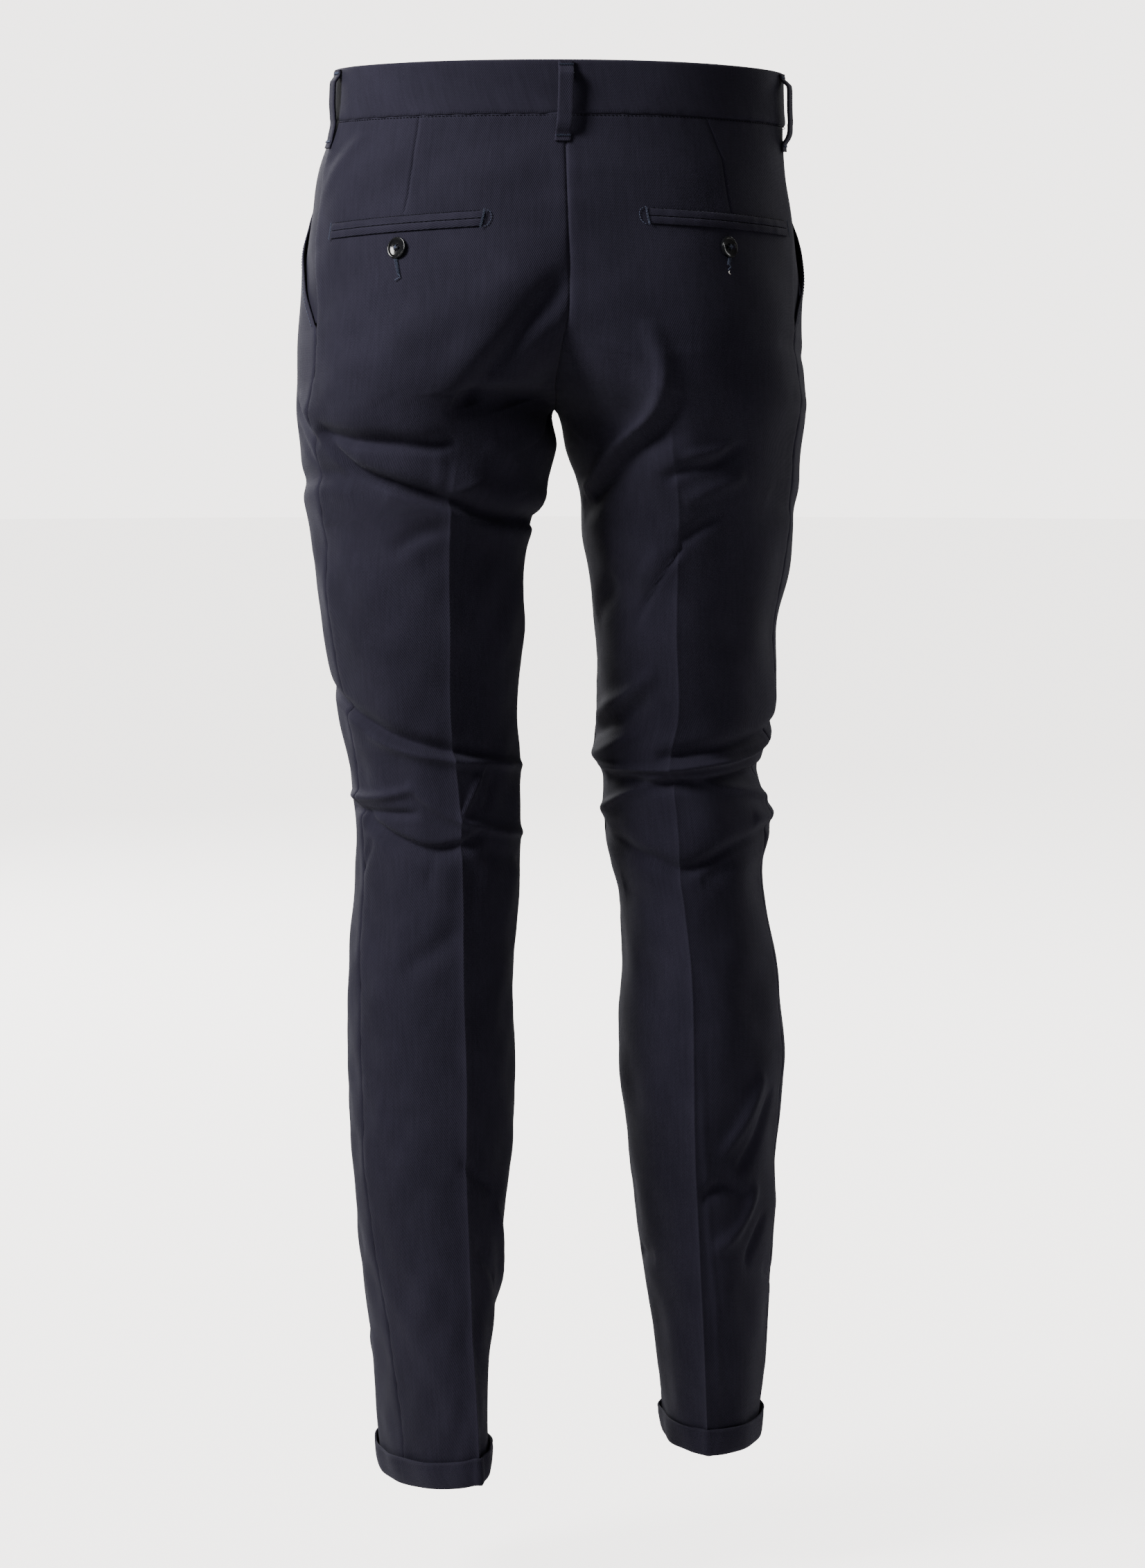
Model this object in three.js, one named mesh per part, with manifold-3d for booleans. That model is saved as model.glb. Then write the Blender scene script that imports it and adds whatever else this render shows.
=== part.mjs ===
// Chino trousers with turned-up cuffs, in the pose of a standing wearer who isn't there.
// Millimetres, +Z up. The front faces -Y, the back +Y, and the wearer's left side is +X.
// The origin is the centre of the waist opening, level with the waistband's top edge near the back.
import * as THREE from 'three';
import { mergeVertices } from 'three/addons/utils/BufferGeometryUtils.js';
import Module from 'manifold-3d';

// Cloth and seams
const CLOTH = 1.7;
const SEAM_GAP = 0.3;
const LAID_GAP = 0.4;
const WELT_THICK = 1.1;
const FLY_THICK = 1.2;
const FACING_THICK = 1.1;
const FACING_DEPTH = 2.7;

// Heights
const BAND_HEIGHT = 37;
const BAND_RISE_BACK = 0.3;
const BAND_DIP_FRONT = -6;
const BAND_DIP_SIDE = { left: -2.5, right: -5 };
const DIP_FADE_Z = -170;
const CROTCH_Z = -242;
const CUFF_BOTTOM_Z = -1014;
const CUFF_HEIGHT = 20;
const CUFF_WEB = 1.2;
const HEM_Z = CUFF_BOTTOM_Z + CUFF_WEB + SEAM_GAP;

// A row for each level of a leg. Above the crotch both rows of a level together are one hip section.
// outer and inner: where the section ends sideways; ahead: the side line's place along Y;
// back and front: depth behind and before it; toe: degrees that the section turns out;
// crease: how far the pressed crease stands up; bulk: 2 is an ellipse, more is squarer.
const LEG_COLUMNS = ['z', 'outer', 'inner', 'ahead', 'back', 'front', 'toe', 'crease', 'bulk'];
const LEG_ROWS = {
  left: [
    [10, 160, -160, 0, 111, 111, 0, 0, 2.3],
    [-37, 163, -160, 0, 117, 115, 0, 0, 2.3],
    [-70, 173.5, -165, 0, 124, 118, 0, 0, 2.3],
    [-100, 179, -172, 0, 130, 120, 0, 0, 2.25],
    [-130, 183, -155, 0, 136, 121, 0, 0, 2.25],
    [-160, 185, -112, 0, 138, 120, 0, 0.5, 2.2],
    [-190, 187, -62, 0, 137, 118, 0, 1, 2.15],
    [-215, 188, -24, 0, 132, 115, 0, 1.5, 2.1],
    [-242, 189, 4, 0, 121, 111, 0, 2, 2.05],
    [-270, 187, 3, 0, 110, 106, 5, 2.5, 2],
    [-300, 184, 12.5, 1, 101, 100, 9, 3, 2],
    [-340, 180, 25, 2, 93, 94, 12, 3.5, 2],
    [-400, 172, 26, 0, 87, 88, 11, 4, 2],
    [-460, 160, 31, -6, 80, 84, 10, 4, 2],
    [-520, 151, 29, -8, 76, 80, 11, 4.5, 2],
    [-580, 149, 29, -5, 74, 76, 12, 5, 2],
    [-650, 155, 35, 2, 73, 72, 17, 5, 2],
    [-720, 155, 34, 7, 72, 70, 18, 5.5, 2],
    [-790, 153, 38, 12, 70, 68, 19, 5.5, 2],
    [-860, 147, 46, 17, 69, 67, 22, 6, 2],
    [-930, 140, 54, 21, 68, 66, 25, 6.5, 1.95],
    [-1015, 134, 56, 25, 67, 65, 27, 7, 1.9],
  ],
  right: [
    [10, 159, -160, 0, 111, 111, 0, 0, 2.3],
    [-37, 160, -163, 0, 117, 115, 0, 0, 2.3],
    [-70, 162.5, -169, 0, 124, 118, 0, 0, 2.3],
    [-100, 166, -162, 0, 130, 120, 0, 0, 2.25],
    [-130, 170, -146, 0, 136, 121, 0, 0, 2.25],
    [-160, 173, -108, 0, 138, 120, 0, 0.5, 2.2],
    [-190, 174, -66, 0, 137, 118, 0, 1, 2.15],
    [-215, 175, -32, 0, 132, 115, 0, 1.5, 2.1],
    [-242, 176, -4, 0, 121, 111, 0, 2, 2.05],
    [-270, 175, 5, -3, 111, 106, 5, 2.5, 2],
    [-300, 174, 14, -7, 102, 101, 8, 3, 2],
    [-340, 170, 18, -14, 94, 95, 9, 3.5, 2],
    [-400, 161, 26, -26, 87, 89, 8, 4, 2],
    [-460, 161, 30, -38, 81, 84, 6, 4, 2],
    [-493, 152, 27, -42, 78, 82, 5, 4, 2],
    [-513, 149, 34, -43.5, 76.5, 80.5, 5, 4.3, 2],
    [-535, 155.5, 33.5, -44, 75.5, 79, 5, 4.5, 2],
    [-555, 157.5, 35, -44, 75, 78, 5.5, 4.7, 2],
    [-578, 153, 40, -44, 74, 76, 6, 5, 2],
    [-600, 154, 45.5, -43.5, 73.5, 75, 6.5, 5, 2],
    [-650, 163, 48, -42, 73, 72, 9, 5, 2],
    [-720, 169, 46, -43, 72, 70, 8, 5.5, 2],
    [-790, 165, 53, -47, 70, 68, 7, 5.5, 2],
    [-860, 163, 62, -50, 69, 67, 8, 6, 2],
    [-930, 159, 72, -52, 68, 66, 6, 6.5, 1.95],
    [-1015, 153, 83, -55, 65, 63, 5, 7, 1.85],
  ],
};
const SIDE = { left: 1, right: -1 };

// The pressed crease: its place across the half hip, how wide its ridge is, and the toe that frees it
const CREASE_SHARE = { back: 0.4, front: 0.5 };
const CREASE_SPREAD = 14;
const CREASE_FREE_TOE = 9;

// How far a hem dips towards its outer side and lifts towards its back
const HEM_TILT = { left: { side: -8, back: 3 }, right: { side: 0, back: 0 } };
const HEM_TILT_TOP_Z = -880;

// Where the centre seams lie along X, and where the side seam lies round the leg
const SEAM_COLUMNS = ['z', 'back', 'front', 'side'];
const SEAM_ROWS = [
  [10, 2.5, 0, 12],
  [-50, 2.5, 0, 14],
  [-120, 1, 0, 18],
  [-165, 0.5, 0, 24],
  [-197, 5, 1.5, 27],
  [-224, 7, 3, 27],
  [-242, 4, 4, 26],
  [-330, 4, 4, 16],
  [-450, 4, 4, 11],
  [-1020, 4, 4, 10],
];

// The largest folds, each along a curve through three places given as degrees round the leg and a height.
// Degrees: 0 outer side, 90 back, 180 inner side, -90 front. rise: out, or in where negative.
// above and below: how far the fold fades over and under its line.
const FOLD_COLUMNS = ['leg', 'a1', 'z1', 'a2', 'z2', 'a3', 'z3', 'rise', 'above', 'below'];
const FOLD_ROWS = [
  ['left', 84, -120, 88, -172, 95, -222, -4, 26, 26],
  ['left', 104, -205, 126, -232, 150, -254, -4, 13, 13],
  ['left', 30, -255, 62, -260, 96, -263, -4.5, 13, 11],
  ['left', 36, -275, 88, -303, 160, -318, 7.5, 15, 9],
  ['left', 56, -304, 96, -322, 150, -340, -4.5, 8, 15],
  ['left', -24, -298, 29, -284, 62, -293, -3, 11, 9],
  ['left', -24, -437, 38, -461, 92, -481, -4.5, 13, 10],
  ['left', 10, -486, 60, -500, 124, -492, 4.5, 11, 10],
  ['left', -14, -525, 22, -522, 60, -515, 3.5, 10, 9],
  ['left', -14, -535, 58, -552, 108, -541, -4.5, 11, 14],
  ['left', 50, -639, 64, -630, 80, -618, -2, 9, 9],
  ['right', 84, -120, 86, -165, 84, -205, -3, 24, 24],
  ['right', 86, -196, 112, -250, 176, -308, 5.5, 9, 12],
  ['right', 96, -245, 116, -272, 140, -294, -5.5, 12, 13],
  ['right', 92, -338, 104, -368, 120, -394, -3, 8, 9],
  ['right', 160, -456, 136, -442, 110, -421, 3, 10, 10],
  ['right', 176, -496, 134, -480, 98, -460, -3.5, 10, 10],
  ['right', 172, -486, 88, -492, -6, -470, 5, 13, 8],
  ['right', 168, -505, 92, -508, -8, -510, -6.5, 8, 11],
  ['right', 172, -538, 136, -524, 98, -505, 4, 9, 9],
  ['right', 62, -540, 26, -545, -14, -540, 5.5, 12, 12],
  ['right', 176, -552, 92, -574, 6, -562, -4, 11, 14],
  ['right', 76, -776, 58, -757, 38, -736, 2, 11, 11],
  ['left', -60, -222, -110, -246, -158, -268, 4.5, 11, 11],
  ['left', -66, -250, -114, -276, -160, -294, -4, 13, 13],
  ['left', -30, -470, -84, -488, -140, -478, -3.5, 12, 12],
  ['left', -40, -528, -92, -540, -150, -530, 3.5, 12, 12],
  ['left', -50, -928, -96, -944, -140, -934, 3, 12, 12],
  ['right', -64, -228, -112, -250, -160, -272, 4.5, 11, 11],
  ['right', -60, -256, -112, -284, -164, -302, -4, 13, 13],
  ['right', -30, -546, -84, -562, -140, -552, -3.5, 12, 12],
  ['right', -50, -936, -92, -950, -140, -940, 3, 12, 12],
];
const FOLD_STEPS = 8;
const MM_PER_DEGREE = 1.5;

// Slant pockets: the front's upper outer corner is cut away from the waist seam to the side seam
const POCKET_TOP_ANGLE = -38;
const POCKET_FOOT_Z = -186;
const POCKET_UNDERLAP = 9;
const POCKET_GAPE = { left: 1.5, right: 4 };
const POCKET_GAPE_FADE = 12;

// Grids
const HALF_COLUMNS = 7;
const ROW_ZONES = [[-37, -220, 18], [-220, -370, 11.5], [-370, -440, 17.5], [-440, -585, 12], [-585, HEM_Z, 36]];
const INNER_MEETS_Z = -430;
const BAND_STEPS = 72;

// Back welt pockets: outer and inner end, as degrees and a height, with each lip's height
const WELTS = {
  left: { outer: [28.5, -110.5], inner: [74.5, -103] },
  right: { outer: [24, -107.5], inner: [74.5, -101] },
};
const WELT_LIP = 5;
const WELT_SLIT = 0.6;
const WELT_STEPS = 10;

// Belt loops: a carrier's run, as heights with its share of the slack, then each one's place and slack
const LOOP_WIDTH = 12;
const LOOP_THICK = 1.8;
const LOOP_RUN = [[-1.2, 0], [-4.5, 0.02], [-7.5, 0.6], [-11, 1], [-24, 1], [-40, 1], [-46, 0.68], [-51, 0.04], [-55.5, 0]];
const LOOPS = {
  belt_loop_back: ['left', 'back', 5.3],
  belt_loop_side_left: ['left', 12, 4.2],
  belt_loop_side_right: ['right', 8, 3.8],
  belt_loop_front_left: ['left', -56, 5.3],
  belt_loop_front_right: ['right', -56, 5.3],
};

// Buttons
const BUTTON_RADIUS = 7.5;
const BUTTON_EDGE = 2.6;
const BUTTON_DISH = 1.7;
const BUTTON_HOLE = 0.8;
const BUTTON_SIDES = 20;
const BUTTON_HOLE_PITCH = 2.6;
const BUTTONS = {
  button_back_left: ['left', 54.5, -128],
  button_back_right: ['right', 53.5, -127],
};

// Waistband overlap at the front
const BAND_PROUD = 0.3;
const BAND_THICK = 2;
const OVERLAP_X = -9;
const UNDERLAP_X = 28;
const UNDERLAP_DEPTH = 2.4;

// Fly: a flap with a round foot, along the centre front
const FLY_X = [-5, 34];
const FLY_FOOT_Z = -178;
const FLY_LIFT = 0.6;
const FLY_ROUND = 34;
const FLY_STEPS = 12;

const rad = THREE.MathUtils.degToRad;
const deg = THREE.MathUtils.radToDeg;
const lerp = THREE.MathUtils.lerp;
const clamp = THREE.MathUtils.clamp;
const signedPower = (v, p) => Math.sign(v) * Math.abs(v) ** p;

// A smooth curve through the rows of a table whose heights fall; returns the named columns at a height
function readRows(columns, rows, z) {
  const at = clamp(z, rows[rows.length - 1][0], rows[0][0]);
  let i = rows.findIndex((row) => row[0] <= at);
  i = clamp(i - 1, 0, rows.length - 2);
  const slope = (k, c) => {
    const a = rows[Math.max(k - 1, 0)];
    const b = rows[Math.min(k + 1, rows.length - 1)];
    return (b[c] - a[c]) / (b[0] - a[0]);
  };
  const [lo, hi] = [rows[i], rows[i + 1]];
  const h = hi[0] - lo[0];
  const s = (at - lo[0]) / h;
  const out = { z };
  for (let c = 1; c < columns.length; c += 1) {
    out[columns[c]] = (2 * s ** 3 - 3 * s ** 2 + 1) * lo[c] + (s ** 3 - 2 * s ** 2 + s) * h * slope(i, c)
      + (3 * s ** 2 - 2 * s ** 3) * hi[c] + (s ** 3 - s ** 2) * h * slope(i + 1, c);
  }
  return out;
}
const legAt = (leg, z) => readRows(LEG_COLUMNS, LEG_ROWS[leg], z);
const seamAt = (z) => readRows(SEAM_COLUMNS, SEAM_ROWS, z);

// The angle at which a leg's section reaches a place along X, on its back or front
function angleAtX(leg, z, x, face) {
  const row = legAt(leg, z);
  const reach = (row.outer - row.inner) / 2;
  const c = clamp((SIDE[leg] * x - (row.outer + row.inner) / 2) / reach, -1, 1);
  const angle = deg(Math.acos(signedPower(c, row.bulk / 2)));
  return face === 'back' ? angle : -angle;
}

// The section of a leg before its folds, in the leg's own plane
function sectionPoint(leg, z, angle) {
  const row = legAt(leg, z);
  const t = rad(angle);
  const toe = rad(row.toe);
  const deep = Math.sin(t) > 0 ? row.back : row.front;
  const reach = (row.outer - row.inner) / 2;
  const swing = Math.min((row.back + row.front) / 2 * Math.sin(toe), 0.92 * reach);
  const wide = Math.sqrt(reach ** 2 - swing ** 2) / Math.cos(toe);
  const x = wide * signedPower(Math.cos(t), 2 / row.bulk);
  const y = deep * signedPower(Math.sin(t), 2 / row.bulk);
  return new THREE.Vector2(
    (row.outer + row.inner) / 2 + x * Math.cos(toe) - y * Math.sin(toe),
    row.ahead + x * Math.sin(toe) + y * Math.cos(toe),
  );
}

// Where the pressed crease runs: towards the middle of the seat above the crotch, square to the leg below
function creaseAngle(leg, z, face) {
  const level = Math.max(z, CROTCH_Z);
  const seam = SIDE[leg] * seamAt(level)[face];
  const x = SIDE[leg] * lerp(seam, legAt(leg, level).outer, CREASE_SHARE[face]);
  const angle = angleAtX(leg, level, x, face);
  if (z >= CROTCH_Z) return angle;
  const square = face === 'back' ? 90 : -90;
  const lean = clamp(1 - legAt(leg, z).toe / CREASE_FREE_TOE, 0, 1);
  return lerp(square, angle, lean);
}

const FOLDS = FOLD_ROWS.map((row) => {
  const fold = Object.fromEntries(FOLD_COLUMNS.map((name, i) => [name, row[i]]));
  const through = new THREE.Vector2(fold.a2 * MM_PER_DEGREE, fold.z2).multiplyScalar(2);
  const ends = [new THREE.Vector2(fold.a1 * MM_PER_DEGREE, fold.z1), new THREE.Vector2(fold.a3 * MM_PER_DEGREE, fold.z3)];
  through.addScaledVector(ends[0], -0.5).addScaledVector(ends[1], -0.5);
  fold.line = new THREE.QuadraticBezierCurve(ends[0], through, ends[1]).getPoints(FOLD_STEPS);
  return fold;
});

// How far one fold lifts the cloth at a place, with ends that fade out
function foldRise(fold, angle, z) {
  const place = new THREE.Vector2(angle * MM_PER_DEGREE, z);
  let best = Infinity;
  let along = 0;
  let over = 0;
  fold.line.slice(1).forEach((end, i) => {
    const start = fold.line[i];
    const run = end.clone().sub(start);
    const share = clamp(place.clone().sub(start).dot(run) / run.lengthSq(), 0, 1);
    const off = place.clone().sub(start.clone().addScaledVector(run, share));
    if (off.length() < best) {
      best = off.length();
      along = (i + share) / FOLD_STEPS;
      over = off.y;
    }
  });
  const width = over > 0 ? fold.above : fold.below;
  const fade = Math.min(1, Math.sqrt(Math.max(0, 4.4 * along * (1 - along))) + 0.1);
  return fold.rise * fade * Math.exp(-((best / width) ** 2));
}

// A place on the outside of the cloth
function clothPoint(leg, angle, z) {
  const at = sectionPoint(leg, z, angle);
  const run = sectionPoint(leg, z, angle + 0.5).sub(sectionPoint(leg, z, angle - 0.5)).normalize();
  const row = legAt(leg, z);
  const face = angle > 0 ? 'back' : 'front';
  const away = Math.abs(angle - creaseAngle(leg, z, face)) * MM_PER_DEGREE;
  let rise = row.crease * Math.exp(-away / CREASE_SPREAD);
  for (const fold of FOLDS) {
    if (fold.leg !== leg) continue;
    rise += foldRise(fold, angle + 360 * Math.round((fold.a2 - angle) / 360), z);
  }
  return new THREE.Vector3(SIDE[leg] * (at.x + run.y * rise), at.y - run.x * rise, z);
}

function clothNormal(leg, angle, z) {
  const across = clothPoint(leg, angle + 1, z).sub(clothPoint(leg, angle - 1, z));
  const down = clothPoint(leg, angle, z - 1.5).sub(clothPoint(leg, angle, z + 1.5));
  const normal = across.cross(down).normalize();
  return SIDE[leg] > 0 ? normal.negate() : normal;
}

// How much the waist line lies above or below its level place
function waistRise(leg, angle, z) {
  const middle = angle > 0 ? BAND_RISE_BACK : BAND_DIP_FRONT;
  const rise = lerp(BAND_DIP_SIDE[leg], middle, Math.sin(rad(angle)) ** 2);
  return rise * clamp((z - DIP_FADE_Z) / (-BAND_HEIGHT - DIP_FADE_Z), 0, 1);
}

// How much a leg's hem lies above or below its level place
function hemRise(leg, angle, z) {
  const { side, back } = HEM_TILT[leg];
  const share = clamp((HEM_TILT_TOP_Z - z) / (HEM_TILT_TOP_Z - HEM_Z), 0, 1);
  return share * (side * Math.cos(rad(angle)) + back * Math.sin(rad(angle)));
}

// Closed body from an outer and an inner grid of points; round joins the last column to the first
function wallGeometry(outer, inner, round = false) {
  const rows = outer.length;
  const columns = outer[0].length;
  const positions = [];
  for (const grid of [outer, inner]) grid.flat().forEach((p) => positions.push(p.x, p.y, p.z));
  const index = [];
  const id = (layer, r, c) => (layer * rows + r) * columns + (c % columns);
  const quad = (a, b, c, d) => index.push(a, b, c, a, c, d);
  const last = round ? columns : columns - 1;
  for (let r = 0; r < rows - 1; r += 1) {
    for (let c = 0; c < last; c += 1) {
      quad(id(0, r, c), id(0, r + 1, c), id(0, r + 1, c + 1), id(0, r, c + 1));
      index.push(id(1, r, c), id(1, r + 1, c + 1), id(1, r + 1, c), id(1, r, c), id(1, r, c + 1), id(1, r + 1, c + 1));
    }
    if (!round) {
      quad(id(0, r, 0), id(1, r, 0), id(1, r + 1, 0), id(0, r + 1, 0));
      quad(id(0, r, last), id(0, r + 1, last), id(1, r + 1, last), id(1, r, last));
    }
  }
  for (let c = 0; c < last; c += 1) {
    quad(id(0, 0, c), id(0, 0, c + 1), id(1, 0, c + 1), id(1, 0, c));
    quad(id(0, rows - 1, c), id(1, rows - 1, c), id(1, rows - 1, c + 1), id(0, rows - 1, c + 1));
  }
  return facingOut(positions, index);
}

// Ring of a closed profile: stations go round the ring, each with the same number of corners
function ringGeometry(stations) {
  const corners = stations[0].length;
  const positions = stations.flat().flatMap((p) => [p.x, p.y, p.z]);
  const index = [];
  stations.forEach((_, s) => {
    const next = (s + 1) % stations.length;
    for (let c = 0; c < corners; c += 1) {
      const d = (c + 1) % corners;
      const [a, b, e, f] = [s * corners + c, next * corners + c, next * corners + d, s * corners + d];
      index.push(a, b, e, a, e, f);
    }
  });
  return facingOut(positions, index);
}

function facingOut(positions, index) {
  const v = (i) => new THREE.Vector3().fromArray(positions, index[i] * 3);
  let volume = 0;
  for (let i = 0; i < index.length; i += 3) volume += v(i).dot(v(i + 1).cross(v(i + 2)));
  const turned = [];
  for (let i = 0; i < index.length; i += 3) {
    if (volume > 0) turned.push(index[i], index[i + 1], index[i + 2]);
    else turned.push(index[i], index[i + 2], index[i + 1]);
  }
  const geometry = new THREE.BufferGeometry();
  geometry.setAttribute('position', new THREE.Float32BufferAttribute(positions, 3));
  geometry.setIndex(turned);
  geometry.computeVertexNormals();
  return geometry;
}

// Heights of the panel rows at the side, and where the same rows meet the centre seam or inseam
const sideLevels = ROW_ZONES.flatMap(([top, foot, pitch]) => {
  const count = Math.round((top - foot) / pitch);
  return Array.from({ length: count }, (_, i) => lerp(top, foot, i / count));
}).concat(HEM_Z);
const innerEdge = (z) => {
  const seam = seamAt(z).back;
  return clothPoint('left', angleAtX('left', z, seam, 'back'), z);
};
const SEAM_SAMPLES = 400;
const seamRun = [{ z: -BAND_HEIGHT, length: 0 }];
for (let i = 1; i <= SEAM_SAMPLES; i += 1) {
  const z = lerp(-BAND_HEIGHT, CROTCH_Z, 1 - (1 - i / SEAM_SAMPLES) ** 2);
  const last = seamRun[seamRun.length - 1];
  seamRun.push({ z, length: last.length + innerEdge(z).distanceTo(innerEdge(last.z)) });
}
const seamLength = seamRun[SEAM_SAMPLES].length;
const crotchRow = sideLevels.findIndex((z) => z < -312);
function innerLevel(row) {
  if (row <= crotchRow) {
    const share = (sideLevels[0] - sideLevels[row]) / (sideLevels[0] - sideLevels[crotchRow]);
    return seamRun.find((s) => s.length >= share * seamLength - 1e-6).z;
  }
  const meets = (sideLevels[crotchRow] - sideLevels[row]) / (sideLevels[crotchRow] - INNER_MEETS_Z);
  return meets < 1 ? lerp(CROTCH_Z, INNER_MEETS_Z, meets) : sideLevels[row];
}
const innerLevels = sideLevels.map((_, row) => innerLevel(row));

// The slant pocket's edge, from the waist seam to the side seam
function frontEdgeAngle(z) {
  const side = seamAt(z).side;
  const foot = seamAt(POCKET_FOOT_Z).side;
  const share = (-BAND_HEIGHT - z) / (-BAND_HEIGHT - POCKET_FOOT_Z);
  return share < 1 ? lerp(POCKET_TOP_ANGLE, foot, share) : side;
}

// Places of a panel's grid: angle and height of each column in a row
function panelPlaces(leg, face, row) {
  const zSide = sideLevels[row];
  const zInner = innerLevels[row];
  const start = face === 'back' ? seamAt(zSide).side : frontEdgeAngle(zSide);
  const end = row < crotchRow ? angleAtX(leg, zInner, seamAt(zInner)[face], face) : (face === 'back' ? 180 : -180);
  const places = [];
  for (let c = 0; c <= 2 * HALF_COLUMNS; c += 1) {
    const z = lerp(zSide, zInner, (c / (2 * HALF_COLUMNS)) ** 1.5);
    const middle = creaseAngle(leg, z, face);
    const angle = c <= HALF_COLUMNS
      ? lerp(start, middle, c / HALF_COLUMNS)
      : lerp(middle, end, c / HALF_COLUMNS - 1);
    places.push({ angle, z });
  }
  return places;
}

// The back or front of one leg, from the waist seam to the hem
function panel(leg, face) {
  const outer = [];
  const inner = [];
  const last = 2 * HALF_COLUMNS;
  sideLevels.forEach((_, row) => {
    const places = panelPlaces(leg, face, row);
    const zInner = innerLevels[row];
    const seam = seamAt(zInner)[face];
    const other = leg === 'left' ? 'right' : 'left';
    const edges = [leg, other].map((name) => clothPoint(name, angleAtX(name, zInner, seam, face), zInner));
    const meet = new THREE.Vector3(seam, (edges[0].y + edges[1].y) / 2, zInner).sub(edges[0]);
    if (row > crotchRow) meet.set(0, 0, 0);
    const outerRow = [];
    const innerRow = [];
    places.forEach(({ angle, z }, c) => {
      const point = clothPoint(leg, angle, z);
      const normal = clothNormal(leg, angle, z);
      const inwards = clamp((c - HALF_COLUMNS) / HALF_COLUMNS, 0, 1);
      point.addScaledVector(meet, inwards ** 2);
      if (face === 'front') point.addScaledVector(normal, pocketGape(leg, angle, z));
      point.z += waistRise(leg, angle, z) + hemRise(leg, angle, z);
      if (row === 0) point.z -= SEAM_GAP / 2;
      if (c === 0 || c === last) {
        const along = clothPoint(leg, angle + 0.5, z).sub(clothPoint(leg, angle - 0.5, z)).normalize();
        const away = (c === 0) === (face === 'back') ? SEAM_GAP / 2 : -SEAM_GAP / 2;
        if (c === 0 || row >= crotchRow) point.addScaledVector(along, away);
        if (c === last && row <= crotchRow) point.x += SIDE[leg] * SEAM_GAP / 2;
      }
      outerRow.push(point);
      innerRow.push(point.clone().addScaledVector(normal, -CLOTH));
    });
    outer.push(outerRow);
    inner.push(innerRow);
  });
  return wallGeometry(outer, inner);
}

// The front stands away along the mouth of its slant pocket
function pocketGape(leg, angle, z) {
  const top = -BAND_HEIGHT;
  const share = clamp((top - z) / (top - POCKET_FOOT_Z), 0, 1);
  const away = (angle - frontEdgeAngle(z)) / POCKET_GAPE_FADE;
  return POCKET_GAPE[leg] * Math.sin(Math.PI * share) ** 2 * Math.exp(-(away ** 2));
}

// A piece laid on, or under, the cloth; places are rows of leg, angle and height
function laidGeometry(places, lift, thick) {
  const layer = (height) => places.map((row) => row.map(({ leg, angle, z }) => {
    const point = clothPoint(leg, angle, z).addScaledVector(clothNormal(leg, angle, z), height);
    point.z += waistRise(leg, angle, z);
    return point;
  }));
  return wallGeometry(layer(lift + thick), layer(lift));
}

function pocketFacing(leg) {
  const rows = 9;
  const columns = 5;
  const top = -BAND_HEIGHT - SEAM_GAP;
  const places = [];
  for (let r = 0; r <= rows; r += 1) {
    const z = lerp(top, POCKET_FOOT_Z + 6, r / rows);
    const from = frontEdgeAngle(z) - POCKET_UNDERLAP;
    const to = seamAt(z).side + 1;
    places.push(Array.from({ length: columns + 1 }, (_, c) => ({ leg, angle: lerp(from, to, c / columns), z })));
  }
  return laidGeometry(places, -FACING_DEPTH - FACING_THICK, FACING_THICK);
}

function weltLip(leg, lip) {
  const { outer, inner } = WELTS[leg];
  const drop = lip === 'upper' ? [0, WELT_LIP] : [WELT_LIP + WELT_SLIT, 2 * WELT_LIP + WELT_SLIT];
  const places = drop.map((down) => Array.from({ length: WELT_STEPS + 1 }, (_, i) => {
    const share = i / WELT_STEPS;
    return { leg, angle: lerp(outer[0], inner[0], share), z: lerp(outer[1], inner[1], share) - down };
  }));
  return laidGeometry(places, LAID_GAP, WELT_THICK);
}

function fly() {
  const top = -BAND_HEIGHT - SEAM_GAP - 0.2;
  const places = [];
  for (let r = 0; r <= FLY_STEPS; r += 1) {
    const z = lerp(top, FLY_FOOT_Z, 1 - (1 - r / FLY_STEPS) ** 1.4);
    const low = clamp((FLY_FOOT_Z + FLY_ROUND - z) / FLY_ROUND, 0, 1);
    const width = (FLY_X[1] - FLY_X[0]) * Math.sqrt(Math.max(0.02, 1 - low ** 2));
    const seam = seamAt(z).front;
    const across = [FLY_X[0], seam, lerp(seam, FLY_X[0] + width, 0.5), FLY_X[0] + width];
    places.push(across.map((x) => {
      const leg = x < seam ? 'right' : 'left';
      return { leg, angle: angleAtX(leg, z, x, 'front'), z };
    }));
  }
  return laidGeometry(places, FLY_LIFT, FLY_THICK);
}

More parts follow.
